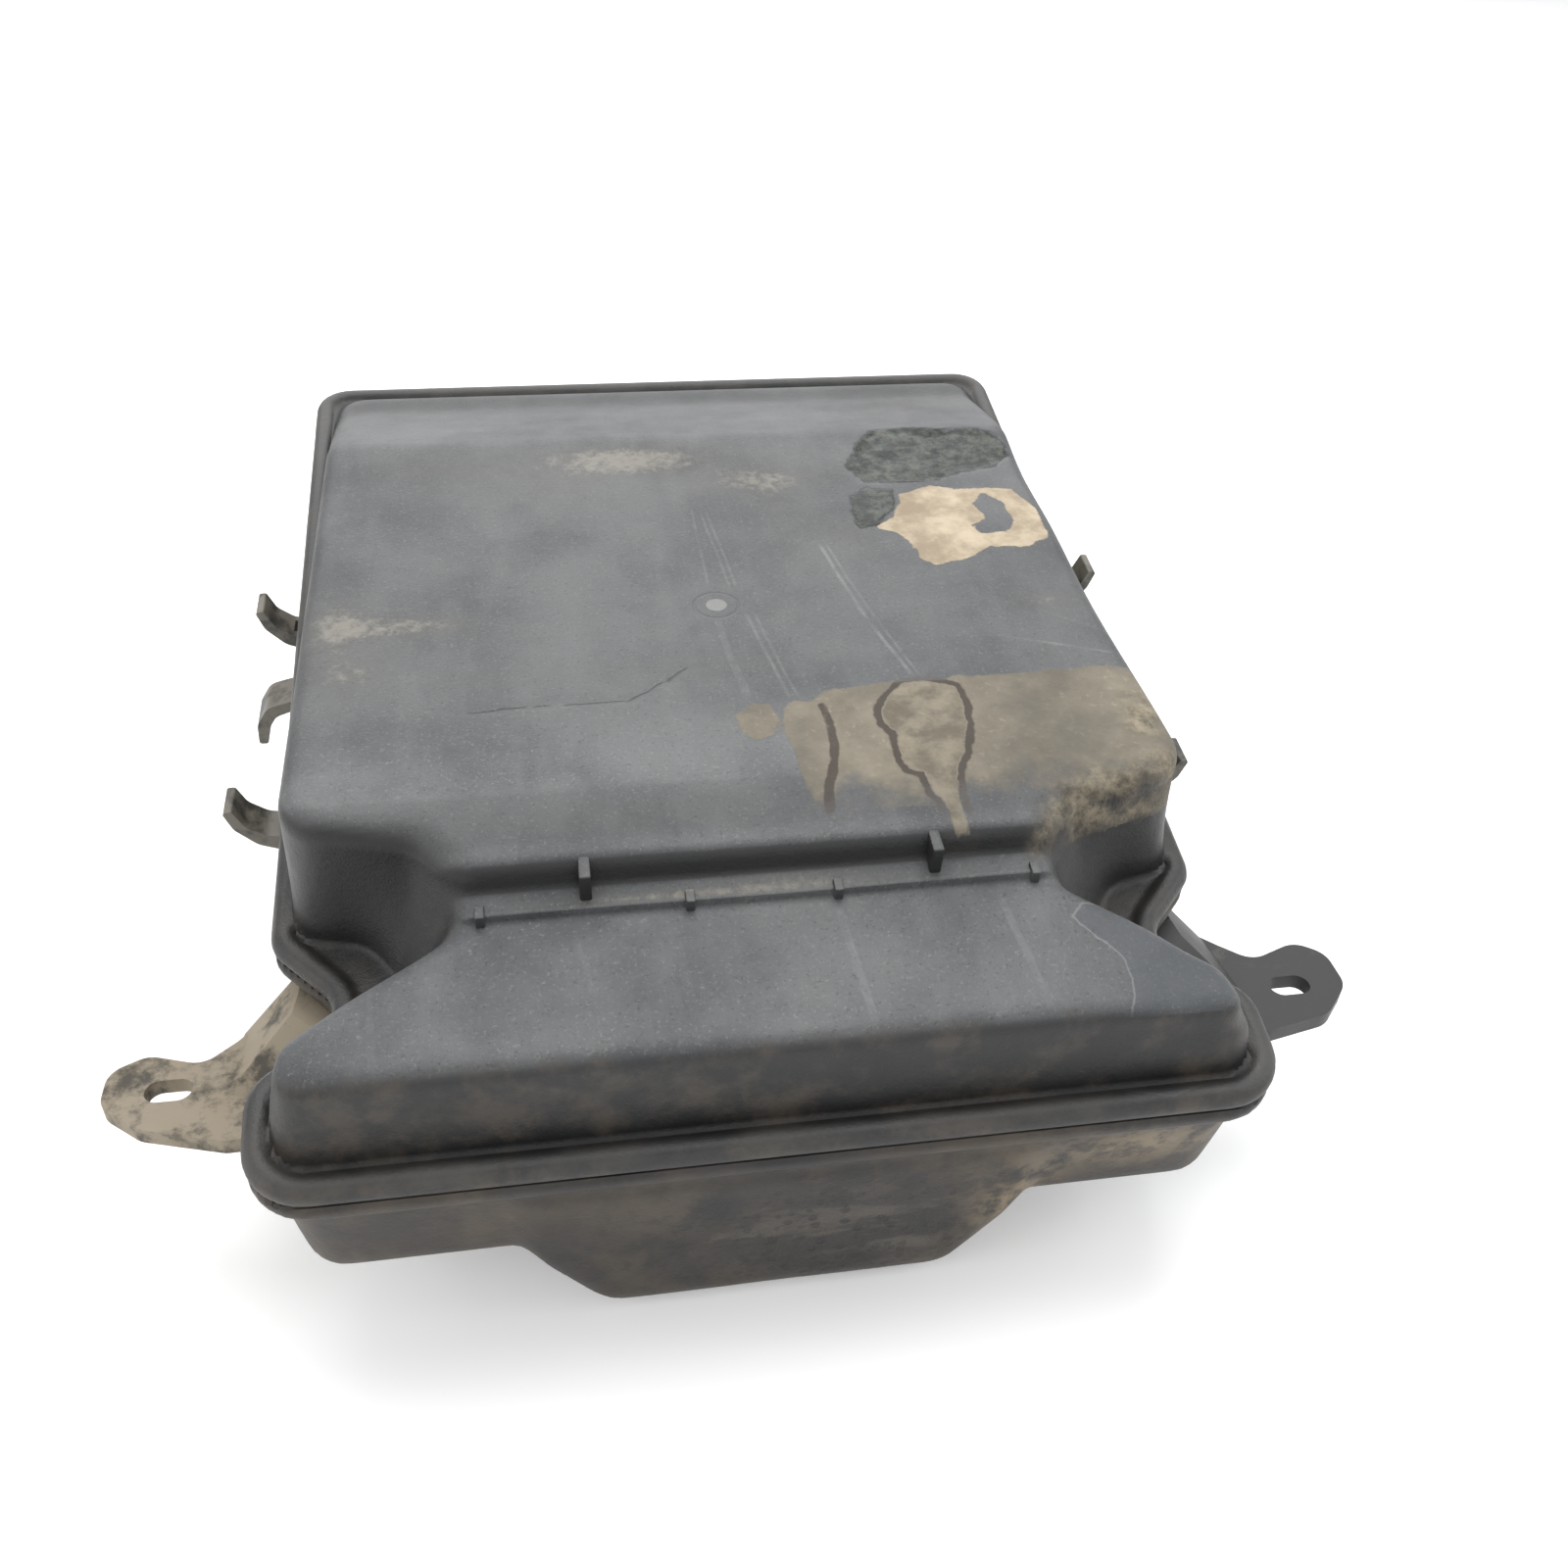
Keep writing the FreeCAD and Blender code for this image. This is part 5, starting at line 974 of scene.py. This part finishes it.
def metal(name, dark, light, rough=(0.28, 0.5), tarnish=(0.10, 0.075, 0.05), amount=0.25):
    g = G(name)
    mid = g.noise(90.0, 5, 0.6)
    col = g.mix(mid, dark, light)
    spot = g.ramp(g.noise(230.0, 5, 0.7), 0.56, 0.70)
    col = g.mix(g.m("MULTIPLY", spot, amount), col, tarnish)
    brush = g.noise(300.0, 3, 0.6, co=g.vscale((0.15, 1.0, 1.0)))
    h = g.m("ADD", g.m("MULTIPLY", brush, 0.08), g.m("MULTIPLY", spot, -0.15))
    return g.finish(col, g.ramp(mid, 0.2, 0.8, *rough), g.bump(h, 0.5, 0.0005), metallic=1.0)


def rubber(name, dark, light, scale=60.0, dust=0.2):
    g = G(name)
    mid = g.noise(scale, 4, 0.55)
    fine = g.noise(900.0, 2, 0.6)
    col = g.mix(mid, dark, light)
    d = g.ramp(g.noise(scale * 2.2, 4, 0.65), 0.55, 0.72)
    col = g.mix(g.m("MULTIPLY", d, dust), col, (0.13, 0.12, 0.10))
    h = g.m("ADD", g.m("MULTIPLY", fine, 0.12), g.m("MULTIPLY", mid, 0.15))
    return g.finish(col, g.ramp(mid, 0.2, 0.8, 0.72, 0.9), g.bump(h, 0.6, 0.0006), spec=0.3)


def foam(name):
    g = G(name)
    cell = g.voronoi(700.0)
    mid = g.noise(40.0, 3)
    col = g.mix(mid, (0.035, 0.035, 0.037), (0.062, 0.061, 0.060))
    col = g.mix(g.ramp(cell, 0.1, 0.5, 0.5, 0.0), col, (0.012, 0.012, 0.012))
    return g.finish(col, 0.93, g.bump(g.m("MULTIPLY", cell, 0.5), 0.8, 0.0008), spec=0.2)


MAT = {
    "ear_clean": plastic("ear_plastic_clean", (0.014, 0.014, 0.0145), (0.036, 0.035, 0.034), (0.42, 0.62), dirt=0.15,
                         dirt_col=(0.085, 0.078, 0.066)),
    "ear_mud": plastic("ear_plastic_muddy", (0.034, 0.030, 0.025), (0.085, 0.075, 0.058), (0.6, 0.9), scale=55.0,
                       dirt=0.72, dirt_col=(0.285, 0.240, 0.175), strength=1.0),
    "hook": plastic("hook_plastic", (0.022, 0.021, 0.019), (0.060, 0.056, 0.048), (0.45, 0.65), dirt=0.62,
                    dirt_col=(0.170, 0.155, 0.125)),
    "battery": plastic("battery_case_plastic", (0.012, 0.012, 0.013), (0.026, 0.026, 0.028), (0.35, 0.5), dirt=0.1),
    "lid": plastic("battery_lid_plastic", (0.055, 0.058, 0.064), (0.088, 0.092, 0.100), (0.35, 0.5), dirt=0.1),
    "strip": plastic("battery_strip_plastic", (0.010, 0.010, 0.011), (0.022, 0.022, 0.024), (0.28, 0.4)),
    "red": plastic("cap_red_plastic", (0.34, 0.018, 0.014), (0.46, 0.032, 0.022), (0.35, 0.5), dirt=0.12),
    "black": plastic("cap_black_plastic", (0.012, 0.012, 0.012), (0.026, 0.026, 0.026), (0.35, 0.5), dirt=0.12),
    "fuse": plastic("fuse_base_plastic", (0.020, 0.020, 0.021), (0.040, 0.040, 0.041), (0.4, 0.55), dirt=0.1),
    "fuse_lid": plastic("fuse_lid_plastic", (0.36, 0.235, 0.035), (0.50, 0.34, 0.06), (0.32, 0.45), dirt=0.1),
    "fuse_body": plastic("fuse_body_ceramic", (0.42, 0.40, 0.36), (0.56, 0.54, 0.50), (0.3, 0.45)),
    "lead": metal("terminal_lead_alloy", (0.26, 0.265, 0.28), (0.42, 0.425, 0.44), (0.4, 0.6), amount=0.2),
    "zinc": metal("zinc_plated_steel", (0.48, 0.485, 0.47), (0.66, 0.66, 0.63), (0.25, 0.42), amount=0.3),
    "pin": metal("pin_steel", (0.50, 0.50, 0.50), (0.66, 0.66, 0.66), (0.2, 0.35), amount=0.1),
    "bar": metal("bar_steel_coated", (0.10, 0.10, 0.105), (0.19, 0.19, 0.20), (0.4, 0.58), amount=0.35),
    "seal": rubber("seal_rubber", (0.012, 0.012, 0.012), (0.024, 0.024, 0.024)),
    "mat": rubber("mat_rubber", (0.016, 0.016, 0.016), (0.032, 0.031, 0.030), dust=0.35),
    "foam": foam("pad_foam"),
}
ASSIGN = {
    "perimeter_seal": "seal", "mounting_ear_left": "ear_mud", "mounting_ear_right": "ear_clean",
    "battery_mat": "mat", "battery_case": "battery", "battery_lid": "lid", "battery_vent_strip": "strip",
    "terminal_post_positive": "lead", "terminal_post_negative": "lead", "terminal_nuts": "zinc",
    "terminal_bolts": "zinc", "terminal_cap_positive": "red", "terminal_cap_negative": "black",
    "terminal_cap_lugs": "lid", "terminal_cap_pins": "pin", "hold_down_bar": "bar", "hold_down_pad": "foam",
    "hold_down_rods": "zinc", "hold_down_washers": "zinc", "hold_down_nuts": "zinc", "battery_side_pads": "foam",
    "lead_grommet_right": "seal", "lead_grommet_left": "seal", "drain_valve": "seal", "fuse_holder_base": "fuse",
    "main_fuse": "fuse_body", "fuse_studs": "zinc", "fuse_nuts": "zinc", "fuse_holder_lid": "fuse_lid",
    "fuse_hinge_lugs": "fuse", "fuse_hinge_pin": "pin",
}
for side in ("left", "right"):
    for place in ("rear", "middle", "front"):
        ASSIGN["hose_hook_%s_%s" % (side, place)] = "hook"
for node, key in ASSIGN.items():
    me = NODES[node].data
    me.materials.clear()
    me.materials.append(MAT[key])

# ------------------------------------------------------------------- floor --
bpy.ops.mesh.primitive_plane_add(size=8.0, location=(0, 0, 0))
floor = bpy.context.active_object
floor.name = "floor"
fg = G("floor_pale")
fn = fg.noise(3.0, 3)
fg.p.inputs["Emission Color"].default_value = (1.0, 1.0, 1.0, 1.0)
fg.p.inputs["Emission Strength"].default_value = 0.22
floor.data.materials.append(fg.finish(fg.mix(fn, (0.88, 0.88, 0.875), (0.91, 0.91, 0.905)), 0.6, spec=0.3))
